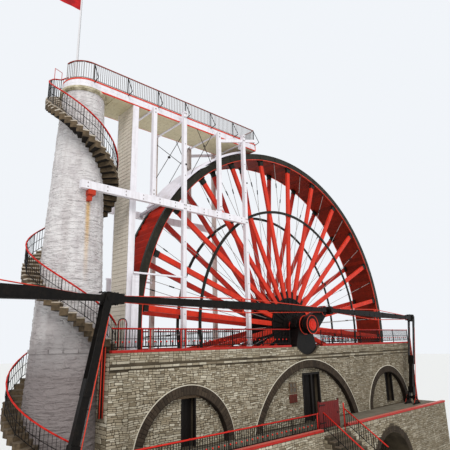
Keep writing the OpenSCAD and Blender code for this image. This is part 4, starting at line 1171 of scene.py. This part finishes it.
# Boards across the underside and the walkway, nailed one beside the other
body = bmesh.new()
add_box(body, (-12.56, -0.985, 22.662), (-12.388, 0.985, 22.69), 0.004)
apply_tree(body, "underside_boards", along_run,
           {"Count": 56, "Step": (0.1762, 0, 0), "Finish": khaki})
body = bmesh.new()
add_box(body, (-14.40, -0.55, 22.75), (-14.23, 0.55, 22.776), 0.004)
apply_tree(body, "walkway_boards", along_run,
           {"Count": 67, "Step": (0.1745, 0, 0), "Finish": khaki})

# Deck railing: pale thin balusters, a red-brown hand rail, and black posts that stiff stays hold
# from outside.
pale_iron = iron_finish("pale_iron", shade(140, 136, 134), shade(104, 96, 90))
paint(pale_iron, "deck_railing")
hand_brown = iron_finish("hand_rail_paint", shade(150, 50, 36), shade(96, 44, 36), 0.5)
body = bmesh.new()
stay_body = bmesh.new()
rail_y = 0.955
rail_top = 24.11
rail_end = -2.66
for side in (-1, 1):
    add_rod(body, (tower_x, side * rail_y, rail_top), (rail_end, side * rail_y, rail_top),
            0.032, 8)
    for k in range(7):
        x = tower_x + 0.045 + 1.8375 * k
        add_rod(stay_body, (x, side * rail_y, 23.13), (x, side * rail_y, rail_top), 0.032, 6)
        knee = (x, side * (rail_y + 0.46), 23.12)
        add_rod(stay_body, (x, side * rail_y, rail_top - 0.03), knee, 0.021, 6)
        add_rod(stay_body, knee, (x, side * (rail_y + 0.05), 23.04), 0.021, 6)
add_rod(body, (rail_end, -rail_y, rail_top), (rail_end, rail_y, rail_top), 0.03, 8)
for k in range(17):
    y = -rail_y + 2 * rail_y * k / 16
    add_rod(stay_body, (rail_end, y, 22.76), (rail_end, y, rail_top), 0.011, 6)
for a0, a1, count in ((90, 116, 2), (186.6, 270, 9)):
    add_run(body, [round_tower(rail_y, a0 + (a1 - a0) * k / count, rail_top)
                   for k in range(count + 1)], 0.032)
finished(body, "deck_hand_rail", hand_brown, smooth=True)
finished(stay_body, "deck_rail_stays", rail_black)

# Drop screen: horizontal weatherboards on the side towards the tower, smooth white boards on its
# two narrow edges.
body = bmesh.new()
board_x, board_z = -11.512, 10.66
made = add_box(body, (board_x - 0.013, -0.965, board_z - 0.094),
               (board_x + 0.013, 0.465, board_z + 0.094))
for corner in made:
    if corner.co.z > board_z and corner.co.x < board_x:
        corner.co.x += 0.012
apply_tree(body, "screen_boards", along_run,
           {"Count": 61, "Step": (0, 0, 0.1965), "Finish": screen_grey})
body = bmesh.new()
for y0, y1 in ((-1.02, -0.965), (0.465, 0.52)):
    add_box(body, (-11.53, y0, 10.5), (-11.19, y1, 22.66), 0.01)
edge_x = -11.2
for k in range(7):
    y = -0.85 + 0.2 * k
    add_box(body, (edge_x, y - 0.098, 10.5), (edge_x + 0.014, y + 0.098, 22.66))
finished(body, "screen_edges", white_paint)
body = bmesh.new()
for side in (-1, 1):
    for k in range(20):
        z = 10.5 + 0.174 * k
        add_box(body, (-11.39, side * 1.20, z), (-11.03, side * 1.27, z + 0.171), 0.002)
    add_box(body, (-11.38, side * 1.27, 13.98), (-8.68, side * 1.36, 14.06), 0.004)
wheel_boards = finished(body, "wheel_screen_boards", white_paint)
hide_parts("wheel_screens")

# Launder: the curved trough that turns the water back on to the wheel, white with a brown foot
launder_paint, tree, shader = start_finish("launder_paint", 0.55)
foot = faded(tree, axes(tree)["Z"], 19.6, 16.6)
blotch = weathered(tree, patches, Size=0.5, Low=0.42, High=0.6)
tree.links.new(mix_colour(tree, worked(tree, "MULTIPLY", foot, blotch), shade(230, 226, 234),
                          shade(168, 156, 150)), shader.inputs["Base Color"])
add_relief(tree, shader, fine_noise(tree, 0.06, 5), 0.004)
body = bmesh.new()
launder_r = 11.13
rows = []
for k in range(33):
    a = math.radians(109.2 + 36.8 * k / 32)
    outer = launder_r + 0.12 + 0.03 * k / 32
    rows.append([body.verts.new((r * math.cos(a), y, wheel_h + r * math.sin(a)))
                 for r, y in ((launder_r, -1.0), (outer, -1.0), (outer, 1.0), (launder_r, 1.0))])
skin(body, rows)
for side in (-1, 1):
    add_box(body, (-4.05, side * 0.90, 22.42), (-3.62, side * 0.98, 22.67))
launder = finished(body, "curved_launder", launder_paint)
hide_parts("apron_launder")
body = bmesh.new()
for x in (-10.5, -8.58, -6.1, -4.1):
    add_box(body, (x - 0.05, -1.29, 22.60), (x + 0.05, 1.29, 22.668), 0.006)
battens = finished(body, "slim_deck_bearers", white_paint)
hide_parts("deck_bearers")

# Posts and beams: bolts with square washers through every joint, and boards that cap the posts.
body = bmesh.new()
post_body = bmesh.new()
beam_low, beam_high = 17.48, 17.84
post_y = 1.405
post_pairs = (-8.58, -4.1)
for side in (-1, 1):
    face = side * (post_y + 0.105)
    bolts = [(x + dx, z, 0.028, 0.02) for x in post_pairs for dx in (-0.05, 0.05)
             for z in (beam_low + 0.08, beam_high - 0.08, 22.78, 23.02)]
    bolts += [(x, z, 0.028, 0.02) for x in (-10.5, -6.1)
              for z in (beam_high + 0.1, beam_high + 0.3, 22.4, 22.6)]
    bolts += [(x, z, 0.022, 0.016) for x in post_pairs for z in (12.2, 14.0, 15.8, 19.4, 21.2)]
    x = -13.9 if side < 0 else -11.2
    while x < -4.4:
        bolts += [(x, z, 0.024, 0.018) for z in (beam_low + 0.09, beam_high - 0.09)]
        x += 0.94
    for x, z, half, proud in bolts:
        add_box(body, (x - half, face, z - half), (x + half, face + side * proud, z + half))
    for x in post_pairs:
        add_box(post_body, (x - 0.12, side * post_y - 0.12, 23.13),
                (x + 0.12, side * post_y + 0.12, 23.16), 0.008)
bolt_grey = iron_finish("bolt_paint", shade(150, 142, 140), shade(110, 96, 88))
finished(body, "post_bolts", bolt_grey)
finished(post_body, "post_caps", white_paint)

# White struts under the deck and between the beams, and the tie bars that hang the launder
body = bmesh.new()
for side in (-1, 1):
    y = side * post_y
    for p, q, wide, deep in (((-6.15, y, 22.16), (-3.07, y, 23.08), 0.10, 0.17),
                             ((-9.5, 1.28, 17.68), (-10.05, -1.28, 17.55), 0.16, 0.12)):
        p, q = Vector(p), Vector(q)
        strut = bmesh.ops.create_cube(body, size=1.0)["verts"]
        bmesh.ops.scale(body, vec=(wide, deep, (q - p).length), verts=strut)
        lean = (q - p).to_track_quat("Z", "Y").to_matrix().to_4x4()
        lean.translation = (p + q) / 2
        bmesh.ops.transform(body, matrix=lean, verts=strut)
finished(body, "head_braces", white_paint)
tie_black = iron_finish("tie_paint", shade(40, 34, 32), shade(84, 64, 52))
body = bmesh.new()
brace_x = -8.58
for s, drop in ((-1, 22.15), (1, 21.8)):
    low, high = (brace_x - s * 0.03, s * 1.5, 19.85), (brace_x - s * 0.03, -s * 1.28, drop)
    add_rod(body, low, high, 0.018, 8)
    y = s * 1.02
    add_rod(body, (-7.38, y, 22.66), (-6.40, y, 20.9), 0.018, 8)
    add_rod(body, (-6.28, y + s * 0.03, 22.66), (-7.83, y + s * 0.03, 19.84), 0.018, 8)
    add_rod(body, (-6.88, y - s * 0.02, 21.75), (-6.88, y + s * 0.05, 21.75), 0.045, 10)
for x in (-8.54, -3.98):
    add_rod(body, (x, -1.50, 20.03), (x, -1.54, 20.03), 0.05, 8)
add_rod(body, (brace_x - 0.06, 0, 20.93), (brace_x + 0.06, 0, 20.93), 0.06, 12)
braces = finished(body, "brace_bars", tie_black)
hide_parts("tie_rods")
bracket_red = iron_finish("bracket_paint", shade(186, 60, 40), shade(120, 50, 36), 0.5)
body = bmesh.new()
add_box(body, (-13.84, -1.50, 17.24), (-13.50, -1.15, 17.477), 0.015)
add_box(body, (-13.80, -1.42, 16.98), (-13.62, -1.14, 17.245), 0.015)
bracket = finished(body, "beam_corbel", bracket_red)
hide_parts("beam_bracket")


# Flagpole: a tapered white pole in an iron shoe, with its halyard.
pole_paint = timber_finish("pole_paint", shade(222, 220, 222), shade(178, 174, 172), (1, 1, 0.1))
paint(pole_paint, "flagpole")
pole_x, pole_y = tower_x - 0.17, 0.8
body = bmesh.new()
add_rod(body, (pole_x, pole_y, 22.75), (pole_x, pole_y, 23.1), 0.075, 12)
add_rod(body, (pole_x + 0.075, pole_y, 23.6), (pole_x + 0.05, pole_y, 28.95), 0.006, 6)
add_rod(body, (pole_x + 0.045, pole_y - 0.08, 23.62), (pole_x + 0.045, pole_y + 0.08, 23.62),
        0.012, 6)
finished(body, "pole_fittings", rail_black)


# Water wheel. Timber spokes painted vermilion run from two cast hubs to iron shrouds; the sole and
# the buckets between the shrouds are red boards. Everything that repeats is set round the axle,
# evenly, the first copy at a stated angle.
round_axle, given, points, copies = copies_tree(
    "round_axle", ("First", "INPUT", "Float"), ("Axle height", "INPUT", "Float"))
points.inputs["Offset"].default_value = (0, 0, 0)
centre = round_axle.nodes.new("ShaderNodeCombineXYZ")
turn = round_axle.nodes.new("ShaderNodeCombineXYZ")
euler = round_axle.nodes.new("FunctionNodeEulerToRotation")
number = round_axle.nodes.new("GeometryNodeInputIndex").outputs["Index"]
share = worked(round_axle, "DIVIDE", number, given["Count"])
degrees = worked(round_axle, "MULTIPLY_ADD", share, 360, given["First"])
for start, end in ((given["Axle height"], centre.inputs["Z"]),
                   (centre.outputs["Vector"], points.inputs["Start Location"]),
                   (scaled(round_axle, degrees, -math.pi / 180), turn.inputs["Y"]),
                   (turn.outputs["Vector"], euler.inputs["Euler"]),
                   (euler.outputs["Rotation"], copies.inputs["Rotation"])):
    round_axle.links.new(start, end)


def round_wheel(body, name, count, first, finish):
    return apply_tree(body, name, round_axle,
                      {"Count": count, "First": float(first), "Axle height": wheel_h,
                       "Finish": finish}, rides="wheel")


def wheel_ring(body, r0, r1, y0, y1, steps=180, centre=(0.0, wheel_h)):
    """A flat ring round the axle between two radii and two places across the wheel."""
    rings = []
    for k in range(steps):
        a = 2 * math.pi * k / steps
        c, s = math.cos(a), math.sin(a)
        rings.append([body.verts.new((centre[0] + r * c, y, centre[1] + r * s))
                      for r, y in ((r0, y0), (r1, y0), (r1, y1), (r0, y1))])
    skin(body, rings, closed=True)


vermilion, tree, shader = start_finish("spoke_paint", 0.5)
worn = weathered(tree, patches, Size=0.5, Low=0.48, High=0.7)
coat = mix_colour(tree, scaled(tree, worn, 0.45), shade(214, 52, 28),
                  shade(168, 40, 28))
stain = weathered(tree, streaks, Width=0.22, Low=0.5, High=0.76)
tree.links.new(mix_colour(tree, scaled(tree, stain, 0.4), coat,
                          shade(110, 30, 24)), shader.inputs["Base Color"])
add_relief(tree, shader, fine_noise(tree, 0.05, 5), 0.003)
paint(vermilion, "front_spokes")
# painted shade: the back spokes get a darker copy of the spoke red
shaded_back_red, tree, shader = start_finish("shaded_back_spoke_paint", 0.55)
worn = weathered(tree, patches, Size=0.5, Low=0.45, High=0.68)
coat = mix_colour(tree, scaled(tree, worn, 0.5), shade(186, 44, 28),
                  shade(122, 32, 26))
tree.links.new(coat, shader.inputs["Base Color"])
add_relief(tree, shader, fine_noise(tree, 0.05, 5), 0.003)
paint(shaded_back_red, "back_spokes")

shroud_paint = iron_finish("shroud_paint", shade(38, 36, 29), shade(64, 60, 48), 0.4,
                           relief=0.004)
paint(shroud_paint, "front_shroud", "back_shroud")
ring_paint = iron_finish("ring_paint", shade(32, 33, 29), shade(60, 50, 42), 0.4)
paint(ring_paint, "bracing_rings")
hub_paint = iron_finish("hub_paint", shade(22, 20, 19), shade(50, 36, 32), 0.4, relief=0.004)
paint(hub_paint, "hubs")
axle_red = iron_finish("axle_paint", shade(206, 44, 30), shade(130, 38, 30), 0.35)
paint(axle_red, "axle")
tie_grey = iron_finish("tie_grey", shade(152, 146, 142), shade(104, 88, 82), 0.5)
paint(tie_grey, "spoke_ties")


def board_paint(name, base, deep, pitch_degrees):
    """Red boards laid across the wheel: each board its own tone, wet and dark in places."""
    material, tree, shader = start_finish(name, 0.65)
    shader.inputs["Specular IOR Level"].default_value = 0.1
    place = axes(tree)
    rise = worked(tree, "SUBTRACT", place["Z"], wheel_h)
    angle = worked(tree, "ARCTAN2", rise, place["X"])
    board = worked(tree, "FLOOR", scaled(tree, angle, 180 / math.pi / pitch_degrees))
    own = tree.nodes.new("ShaderNodeTexWhiteNoise")
    own.noise_dimensions = "1D"
    tree.links.new(board, own.inputs["W"])
    tone = mix_colour(tree, scaled(tree, own.outputs["Value"], 0.7), base, deep)
    wet = weathered(tree, patches, Size=0.45, Low=0.46, High=0.66)
    tree.links.new(mix_colour(tree, scaled(tree, wet, 0.5), tone, deep),
                   shader.inputs["Base Color"])
    add_relief(tree, shader, fine_noise(tree, 0.05, 5, (1, 0.15, 1)), 0.004)
    return material


sole_paint = board_paint("sole_boards", shade(134, 36, 18), shade(88, 26, 14), 1.5)
bucket_paint = board_paint("bucket_boards", shade(200, 42, 18), shade(140, 32, 18), 2.142857)
paint(sole_paint, "sole")
paint(bucket_paint, "buckets")

body = bmesh.new()
add_box(body, (10.664, -0.762, -0.137), (10.682, 0.762, 0.137), 0.004)
round_wheel(body, "sole_lining", 240, 0.75, sole_paint)
body = bmesh.new()
for side in (-1, 1):
    wheel_ring(body, 10.655, 10.684, side * 0.940, side * 0.999)
finished(body, "shroud_red_edge", red_line, rides="wheel")

# Shroud plates: a bolted lap every seven and a half degrees, on both sides and round the rim
body = bmesh.new()
for side in (-1, 1):
    add_box(body, (10.70, side * 0.993, -0.085), (11.03, side * 1.010, 0.085), 0.004)
    for r in (10.76, 10.87, 10.98):
        for z in (-0.05, 0.05):
            add_rod(body, (r, side * 1.008, z), (r, side * 1.024, z), 0.016, 6)
    for k in range(6):
        a = math.radians(1.1 + k * 1.12)
        add_rod(body, (11.0 * math.cos(a), side * 0.995, 11.0 * math.sin(a)),
                (11.0 * math.cos(a), side * 1.009, 11.0 * math.sin(a)), 0.013, 6)
round_wheel(body, "shroud_laps", 48, 3.5, shroud_paint)

# Iron sockets that hold the outer ends of the spokes, with their bolts
body = bmesh.new()
for side in (-1, 1):
    add_box(body, (10.30, side * 0.766, -0.152), (10.662, side * 0.956, 0.152), 0.008)
    add_box(body, (10.56, side * 0.766, -0.21), (10.662, side * 0.956, 0.21), 0.008)
    for r in (10.37, 10.49):
        for z in (-0.08, 0.08):
            add_rod(body, (r, side * 0.954, z), (r, side * 0.975, z), 0.02, 6)
round_wheel(body, "spoke_sockets", 24, 11, ring_paint)

# Bolts and clips where the bracing rings cross the spokes
body = bmesh.new()
for side in (-1, 1):
    for r in (7.145, 7.255):
        for z in (-0.09, 0.09):
            add_rod(body, (r, side * 0.993, z), (r, side * 1.018, z), 0.022, 6)
    add_box(body, (7.12, side * 0.765, -0.15), (7.28, side * 0.786, 0.15), 0.005)
round_wheel(body, "ring_clips", 24, 11, ring_paint)
body = bmesh.new()
for side in (-1, 1):
    add_box(body, (7.125, side * 0.993, -0.2), (7.275, side * 1.006, 0.2), 0.004)
round_wheel(body, "ring_laps", 12, 18.5, ring_paint)

# Tie rods: a turnbuckle on each, an eye on the hub and a nut plate under the sole
body = bmesh.new()
for side in (-1, 1):
    add_rod(body, (8.95, side * 0.86, 0), (9.25, side * 0.86, 0), 0.034, 8)
    add_rod(body, (1.62, side * 0.86, 0), (2.05, side * 0.86, 0), 0.045, 8, end_radius=0.026)
    add_box(body, (10.635, side * 0.80, -0.06), (10.664, side * 0.92, 0.06), 0.004)
round_wheel(body, "tie_fittings", 24, 18.5, hub_paint)

# Hubs: ribs and fingers between the spokes, and four bolts through the foot of each spoke
hub_face = 0.86 + 0.115
body = bmesh.new()
for side in (-1, 1):
    add_box(body, (0.65, side * hub_face, -0.025), (1.67, side * (hub_face + 0.05), 0.025))
    prism(body, *[[(r, side * y, w)
                   for r, w in ((1.55, -0.11), (2.12, -0.045), (2.12, 0.045), (1.55, 0.11))]
                  for y in (0.80, 0.93)])
round_wheel(body, "hub_fingers", 24, 18.5, hub_paint)
body = bmesh.new()
for side in (-1, 1):
    for r, z in ((1.12, 0.0), (1.32, 0.0), (1.50, -0.055), (1.50, 0.055), (1.64, 0.0)):
        add_rod(body, (r, side * hub_face, z), (r, side * (hub_face + 0.03), z), 0.026, 6)
round_wheel(body, "hub_bolts", 24, 11, hub_paint)
body = bmesh.new()
for side in (-1, 1):
    wheel_ring(body, 1.63, 1.70, side * hub_face, side * (hub_face + 0.035), 96)
    wheel_ring(body, 0.62, 0.74, side * hub_face, side * (hub_face + 0.035), 72)
finished(body, "hub_rims", hub_paint, rides="wheel")


# Crank: a heavy black web keyed on the axle end, its boss and its eye lined out in red.
crank_black = iron_finish("crank_paint", shade(17, 15, 14), shade(42, 33, 29), 0.35,
                          relief=0.004)
paint(crank_black, "crank")
pin_x, pin_z = 1.29994, 12.59419
web_face = -2.64
body = bmesh.new()
wheel_ring(body, 0.285, 0.345, web_face - 0.016, web_face + 0.004, 72)
wheel_ring(body, 0.515, 0.552, web_face - 0.014, web_face + 0.004, 72)
wheel_ring(body, 0.272, 0.302, web_face - 0.014, web_face + 0.004, 48, (pin_x, pin_z))
finished(body, "crank_red_lines", red_line, rides="wheel")
body = bmesh.new()
add_rod(body, (0, -2.648, wheel_h), (0, -2.70, wheel_h), 0.285, 48)
add_rod(body, (0, -2.70, wheel_h), (0, -2.72, wheel_h), 0.09, 24)
finished(body, "axle_ends", axle_red, rides="wheel")
body = bmesh.new()
lean = math.radians(33)
for f, half in ((0.32, 0.36), (0.62, 0.27)):
    for s in (-1, 1):
        x = pin_x * f - s * half * math.sin(lean)
        z = wheel_h + (pin_z - wheel_h) * f + s * half * math.cos(lean)
        add_rod(body, (x, web_face, z), (x, web_face - 0.03, z), 0.04, 6)
add_box(body, (0.20, web_face - 0.023, wheel_h + 0.15), (0.30, web_face + 0.007, wheel_h + 0.25))
add_rod(body, (pin_x, -3.20, pin_z), (pin_x, -3.235, pin_z), 0.17, 6)
finished(body, "crank_bolts", crank_black, rides="wheel")


# Axle bearings: cast plummer blocks bedded in the round notches of the walls, their caps held by
# studs, the edges of collar and cap lined in red.
paint(crank_black, "axle_bearings")
body = bmesh.new()
studs = bmesh.new()
for side in (-1, 1):
    face = side * 2.10
    for r0, r1, steps in ((0.515, 0.562, 72), (0.278, 0.315, 48)):
        wheel_ring(body, r0, r1, face - side * 0.01, face + side * 0.012, steps)
    for x in (-0.66, 0.66):
        add_box(studs, (x - 0.09, side * 1.52, wheel_h - 0.14),
                (x + 0.09, side * 1.98, wheel_h + 0.10), 0.01)
        for y in (side * 1.55, side * 1.95):
            add_rod(studs, (x, y, wheel_h + 0.08), (x, y, wheel_h + 0.30), 0.035, 8)
            add_rod(studs, (x, y, wheel_h + 0.12), (x, y, wheel_h + 0.18), 0.062, 6)
    for x in (-0.82, 0.82):
        for y in (side * 1.5, side * 2.0):
            add_rod(studs, (x, y, 10.6), (x, y, 10.78), 0.045, 6)
finished(body, "bearing_red_lines", red_line)
finished(studs, "bearing_studs", crank_black)


# Rods and rockers: long timber rods with iron truss rods and king posts, painted black and picked
# out in red, carried at their far ends between the cheeks of timber rockers.
rod_y = -3.0
rod_black = iron_finish("rod_paint", shade(15, 13, 11), shade(40, 33, 26), 0.4, relief=0.005)
paint(rod_black, "main_rod", "drive_rod", "right_rod", "left_rocker_stand", "right_rocker_stand",
      "right_guide_post")


def rod_frame(way, slope_degrees):
    """Local places along a rod from the crank pin, turned into places in the world."""
    c, s = math.cos(math.radians(slope_degrees)), math.sin(math.radians(slope_degrees))

    def at(u, y, w):
        return Vector((pin_x + way * (u * c + w * s), y, pin_z - u * s * way + w * c))
    return at


def dress_rod(at, length, rides, tag):
    """Straps, bolts, truss rods and king post of one rod."""
    red, black = bmesh.new(), bmesh.new()
    for w in (-1, 1):
        low, high = at(0.7, rod_y, w * 0.115), at(length / 2, rod_y, w * 0.35)
        add_rod(red, low, high, 0.025, 8)
        add_rod(red, high, at(length - 0.6, rod_y, w * 0.115), 0.025, 8)
    prism(red, *[[at(length / 2 + du, rod_y + dy, w)
                  for du, dy in ((-0.052, -0.052), (-0.052, 0.052), (0.052, 0.052), (0.052, -0.052))]
                 for w in (-0.372, 0.372)])
    u = 0.7
    while u < length - 0.75:
        for y in (rod_y - 0.136, rod_y + 0.136):
            for w in (-0.07, 0.07):
                add_rod(black, at(u, y, w), at(u, y + (0.018 if y > rod_y else -0.018), w),
                        0.018, 6)
        u += 0.62
    for u in (0.9, length * 0.25, length * 0.42, length * 0.58, length * 0.75, length - 1.1):
        half = 0.115 + 0.075 * min(u, length - u) / (length / 2) + 0.008
        prism(black, *[[at(u + du, rod_y + dy, w) for dy, w in ((-0.143, -half), (0.143, -half),
                                                                (0.143, half), (-0.143, half))]
                       for du in (-0.045, 0.045)])
    finished(red, tag + "_truss_rods", red_line, rides=rides)
    finished(black, tag + "_straps", rod_black, rides=rides)


main_at = rod_frame(-1, 0)
right_at = rod_frame(1, 1.35)
main_length, right_length = 14.8, 10.6
dress_rod(main_at, main_length, "main_rod_line", "main_rod")
dress_rod(right_at, right_length, "right_rod_line", "right_rod")

# Castings at the far ends of the rods: cheek plates with studs
for at, length, rides, tag in ((main_at, main_length, "main_rod_line", "left_joint"),
                               (right_at, right_length, "right_rod_line", "right_joint")):
    casting = bmesh.new()
    for u in (length - 0.42, length - 0.28, length - 0.14, length + 0.14, length + 0.28):
        for w in (-0.215, 0.215):
            for y in (-0.07, 0.07):
                add_rod(casting, at(u, rod_y + y, w * 0.9), at(u, rod_y + y, w * 1.2), 0.026, 8)
                add_rod(casting, at(u, rod_y + y, w * 0.95), at(u, rod_y + y, w * 1.08), 0.045, 6)
    for u in (length - 0.46, length - 0.32):
        add_rod(casting, at(u, rod_y - 0.138, 0), at(u, rod_y + 0.138, 0), 0.05, 8)
    finished(casting, tag + "_casting", rod_black, rides=rides)

# The rod line beyond the left joint: a bolted scarf and iron plates
body = bmesh.new()
for k in range(10):
    x = -13.95 - 0.36 * k
    for w in (-0.06, 0.06):
        for side in (-1, 1):
            y = rod_y + side * 0.136
            add_rod(body, (x, y, pin_z + w), (x, y + side * 0.02, pin_z + w), 0.02, 6)
for x in (-14.5, -16.9):
    for side in (-1, 1):
        add_box(body, (x - 0.35, rod_y + side * 0.134, pin_z - 0.10),
                (x + 0.35, rod_y + side * 0.146, pin_z + 0.10), 0.004)
profile = [(-14.35, 12.48), (-16.1, 12.49), (-16.9, 12.49), (-17.48, 12.62), (-17.48, 12.905),
           (-16.2, 12.885), (-14.35, 12.68)]
prism(body, *[[(x, rod_y + dy, z) for x, z in profile] for dy in (-0.125, 0.125)])
finished(body, "drive_rod_plates", rod_black, rides="main_rod_line")
body = bmesh.new()
add_rod(body, (-14.5, rod_y, 12.70), (-17.46, rod_y, 13.03), 0.024, 8)
add_rod(body, (-15.3, rod_y, 12.49), (-17.46, rod_y, 12.455), 0.024, 8)
finished(body, "drive_rod_truss", red_line, rides="main_rod_line")


rocker_foot_z = 6.8
left_foot_x, right_foot_x = -14.61585, 10.51461
# The eye of a rocker clears the stand's pin, 0.16 m thick, by 3 mm
eye_r = 0.083


def dress_rocker(foot_x, lean_degrees, length, rides, tag):
    """A solid beam below and a fork above, with foot and head plates, bolts and a red truss rod."""
    turn = Matrix.Rotation(math.radians(lean_degrees), 4, "Y")

    def at(w, y, s):
        return turn @ Vector((w, 0, s)) + Vector((foot_x, rod_y + y, rocker_foot_z))

    def bar(target, outline, y0, y1):
        prism(target, *[[at(w, y, s) for w, s in outline] for y in (y0, y1)])

    red, black = bmesh.new(), bmesh.new()
    bar(black, [(-0.165, 0.3), (0.165, 0.3), (0.14, 2.9), (-0.14, 2.9)], -0.13, 0.13)
    bar(black, [(-0.125, 2.35), (0.125, 2.35), (0.125, 2.88), (-0.125, 2.88)], -0.163, 0.163)
    for side in (-1, 1):
        y0, y1 = sorted((side * 0.162, side * 0.196))
        bar(black, [(-0.14, 2.3), (0.14, 2.3), (0.135, length - 0.9), (0.165, length - 0.2),
                    (0.15, length + 0.13), (0, length + 0.2), (-0.15, length + 0.13),
                    (-0.165, length - 0.2), (-0.135, length - 0.9)], y0, y1)
        for w in (-1, 1):
            turns = [math.pi * k / 12 for k in range(13)]
            eye = [(w * eye_r * math.sin(a), eye_r * math.cos(a)) for a in turns]
            cap = [(w * 0.12 * math.sin(a), 0.12 * math.cos(a)) for a in turns[::-1]]
            plate = [(0, -0.2), (w * 0.08, -0.2), (w * 0.16, -0.14), (w * 0.17, 0.7), (0, 0.7)]
            for outline, y0, y1 in ((plate + eye, 0.12, 0.205), (cap + eye, 0.2, 0.218)):
                bar(black, outline[::w], *sorted((side * y0, side * y1)))
        add_rod(black, at(0, side * 0.164, length), at(0, side * 0.225, length), 0.09, 24)
        add_rod(red, at(0.225, side * 0.179, 0.1), at(0.16, side * 0.179, length - 0.7), 0.02, 8)
        for f in (0.02, 0.35, 0.68, 0.98):
            s = 0.1 + (length - 0.8) * f
            add_rod(black, at(0.08, side * 0.179, s), at(0.225 - 0.065 * f, side * 0.179, s),
                    0.014, 6)
        for s in (2.45, 2.75, length - 1.6, length - 0.9, length - 0.45):
            for w in (-0.08, 0.08):
                add_rod(black, at(w, side * 0.194, s), at(w, side * 0.212, s), 0.022, 6)
        for s in (0.95, 1.4, 1.85):
            add_rod(black, at(0, side * 0.128, s), at(0, side * 0.148, s), 0.028, 6)
    finished(red, tag + "_red_lines", red_line, rides=rides)
    beam = finished(black, tag + "_beam_and_fork", rod_black, rides=rides)
    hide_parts(tag)


dress_rocker(left_foot_x, 10.9, 5.9006, "left_rocker_beam", "left_rocker")
dress_rocker(right_foot_x, 14.0, 5.7142, "right_rocker_beam", "right_rocker")

# Stands and guides: cast brackets on the terrace, lined in red, with holding-down bolts
body, red = bmesh.new(), bmesh.new()
for foot in (left_foot_x, right_foot_x):
    for side in (-1, 1):
        y = rod_y + side * 0.3185
        lined = y + side * 0.002
        add_box(body, (foot - 0.5, y - side * 0.065, terrace_top),
                (foot + 0.5, y + side * 0.045, terrace_top + 0.05), 0.006)
        for dx in (-0.42, -0.2, 0.2, 0.42):
            add_rod(body, (foot + dx, y, terrace_top + 0.05), (foot + dx, y, terrace_top + 0.12),
                    0.03, 6)
        add_rod(body, (foot, y, rocker_foot_z), (foot, y + side * 0.04, rocker_foot_z), 0.10, 24)
        turns = [2 * math.pi * k / 24 for k in range(25)]
        add_run(red, [(foot + 0.145 * math.cos(a), lined, rocker_foot_z + 0.145 * math.sin(a))
                      for a in turns], 0.014, 6)
        for s in (-1, 1):
            add_rod(red, (foot + s * 0.44, lined, terrace_top + 0.06),
                    (foot + s * 0.165, lined, rocker_foot_z - 0.04), 0.012, 6)
for x in (12.698, 12.792):
    add_rod(red, (x, -2.322, terrace_top), (x, -2.322, 10.85), 0.010, 6)
for z in (6.9, 8.2, 9.5, 10.6):
    add_rod(body, (12.745, -2.32, z), (12.745, -2.345, z), 0.022, 6)
add_ball(red, (12.745, -2.26, 10.91), 0.075, 12, 8)
finished(body, "stand_bolts", rod_black)
finished(red, "stand_red_lines", red_line)

# Guide on the end of the wall: a black bar lined in red under a round salmon-red head
body, red = bmesh.new(), bmesh.new()
add_box(body, (-13.03, -1.90, 8.05), (-12.862, -1.76, 10.78), 0.008)
for x in (-13.03, -12.90):
    add_rod(red, (x, -1.91, 8.06), (x, -1.91, 10.76), 0.022, 8)
add_ball(red, (-12.95, -1.83, 10.86), 0.10, 16, 10)
guide = finished(body, "wall_end_guide", rod_black)
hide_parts("left_guide_post")
finished(red, "wall_end_guide_lines", red_line, smooth=True)


# Flag: a plain red cloth tied to the pole at two corners, out in a light wind and heavier at its
# free end, where it sags and folds.
flag_cloth, tree, shader = start_finish("flag_cloth", 0.85)
# painted shade: darker patches stand for the shade in the cloth's folds
fold_shade = weathered(tree, patches, Size=0.5, Low=0.4, High=0.62)
tree.links.new(mix_colour(tree, fold_shade, shade(198, 34, 36), shade(152, 26, 32)),
               shader.inputs["Base Color"])
weave = tree.nodes.new("ShaderNodeTexWave")
weave.inputs["Scale"].default_value = 180
coords = tree.nodes.new("ShaderNodeTexCoord")
tree.links.new(coords.outputs["UV"], weave.inputs["Vector"])
add_relief(tree, shader, weave.outputs["Fac"], 0.0006)

cloth_l, cloth_h = 1.14, 0.79
hoist_x = -13.94
flag_low = 28.235
across, down = 48, 28
body = bmesh.new()
uv = body.loops.layers.uv.new("cloth")
grid = []
for i in range(across + 1):
    u = i / across
    column = []
    for j in range(down + 1):
        v = j / down
        ripple = 0.016 * u * math.sin(9.2 * u + 2.0 * v)
        sway = 0.05 * u * math.sin(7.0 * u + 1.4 * v)
        x = hoist_x - cloth_l * (u * 0.985 - 0.012 * u * math.sin(5 * v + 2 * u))
        y = 0.8 + max(-0.034, min(0.034, 0.42 * sway + ripple))
        z = flag_low + cloth_h * (1 - v) * (1 - 0.03 * u) - 0.015 * u * u * (1 - v)
        column.append(body.verts.new((x, y, z)))
    grid.append(column)
for i in range(across):
    for j in range(down):
        face = body.faces.new((grid[i][j], grid[i + 1][j], grid[i + 1][j + 1], grid[i][j + 1]))
        for loop, (a, b) in zip(face.loops, ((i, j), (i + 1, j), (i + 1, j + 1), (i, j + 1))):
            loop[uv].uv = (a / across, b / down)
mesh = bpy.data.meshes.new("flag_cloth")
body.to_mesh(mesh)
body.free()
mesh.materials.append(flag_cloth)
flag_piece = fitted("flag_cloth", mesh, "root", smooth=True)
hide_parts("flag")
body = bmesh.new()
add_rod(body, (hoist_x + 0.005, 0.8, flag_low), (hoist_x + 0.005, 0.8, flag_low + cloth_h),
        0.009, 6)
hem = finished(body, "flag_hem", flag_cloth)
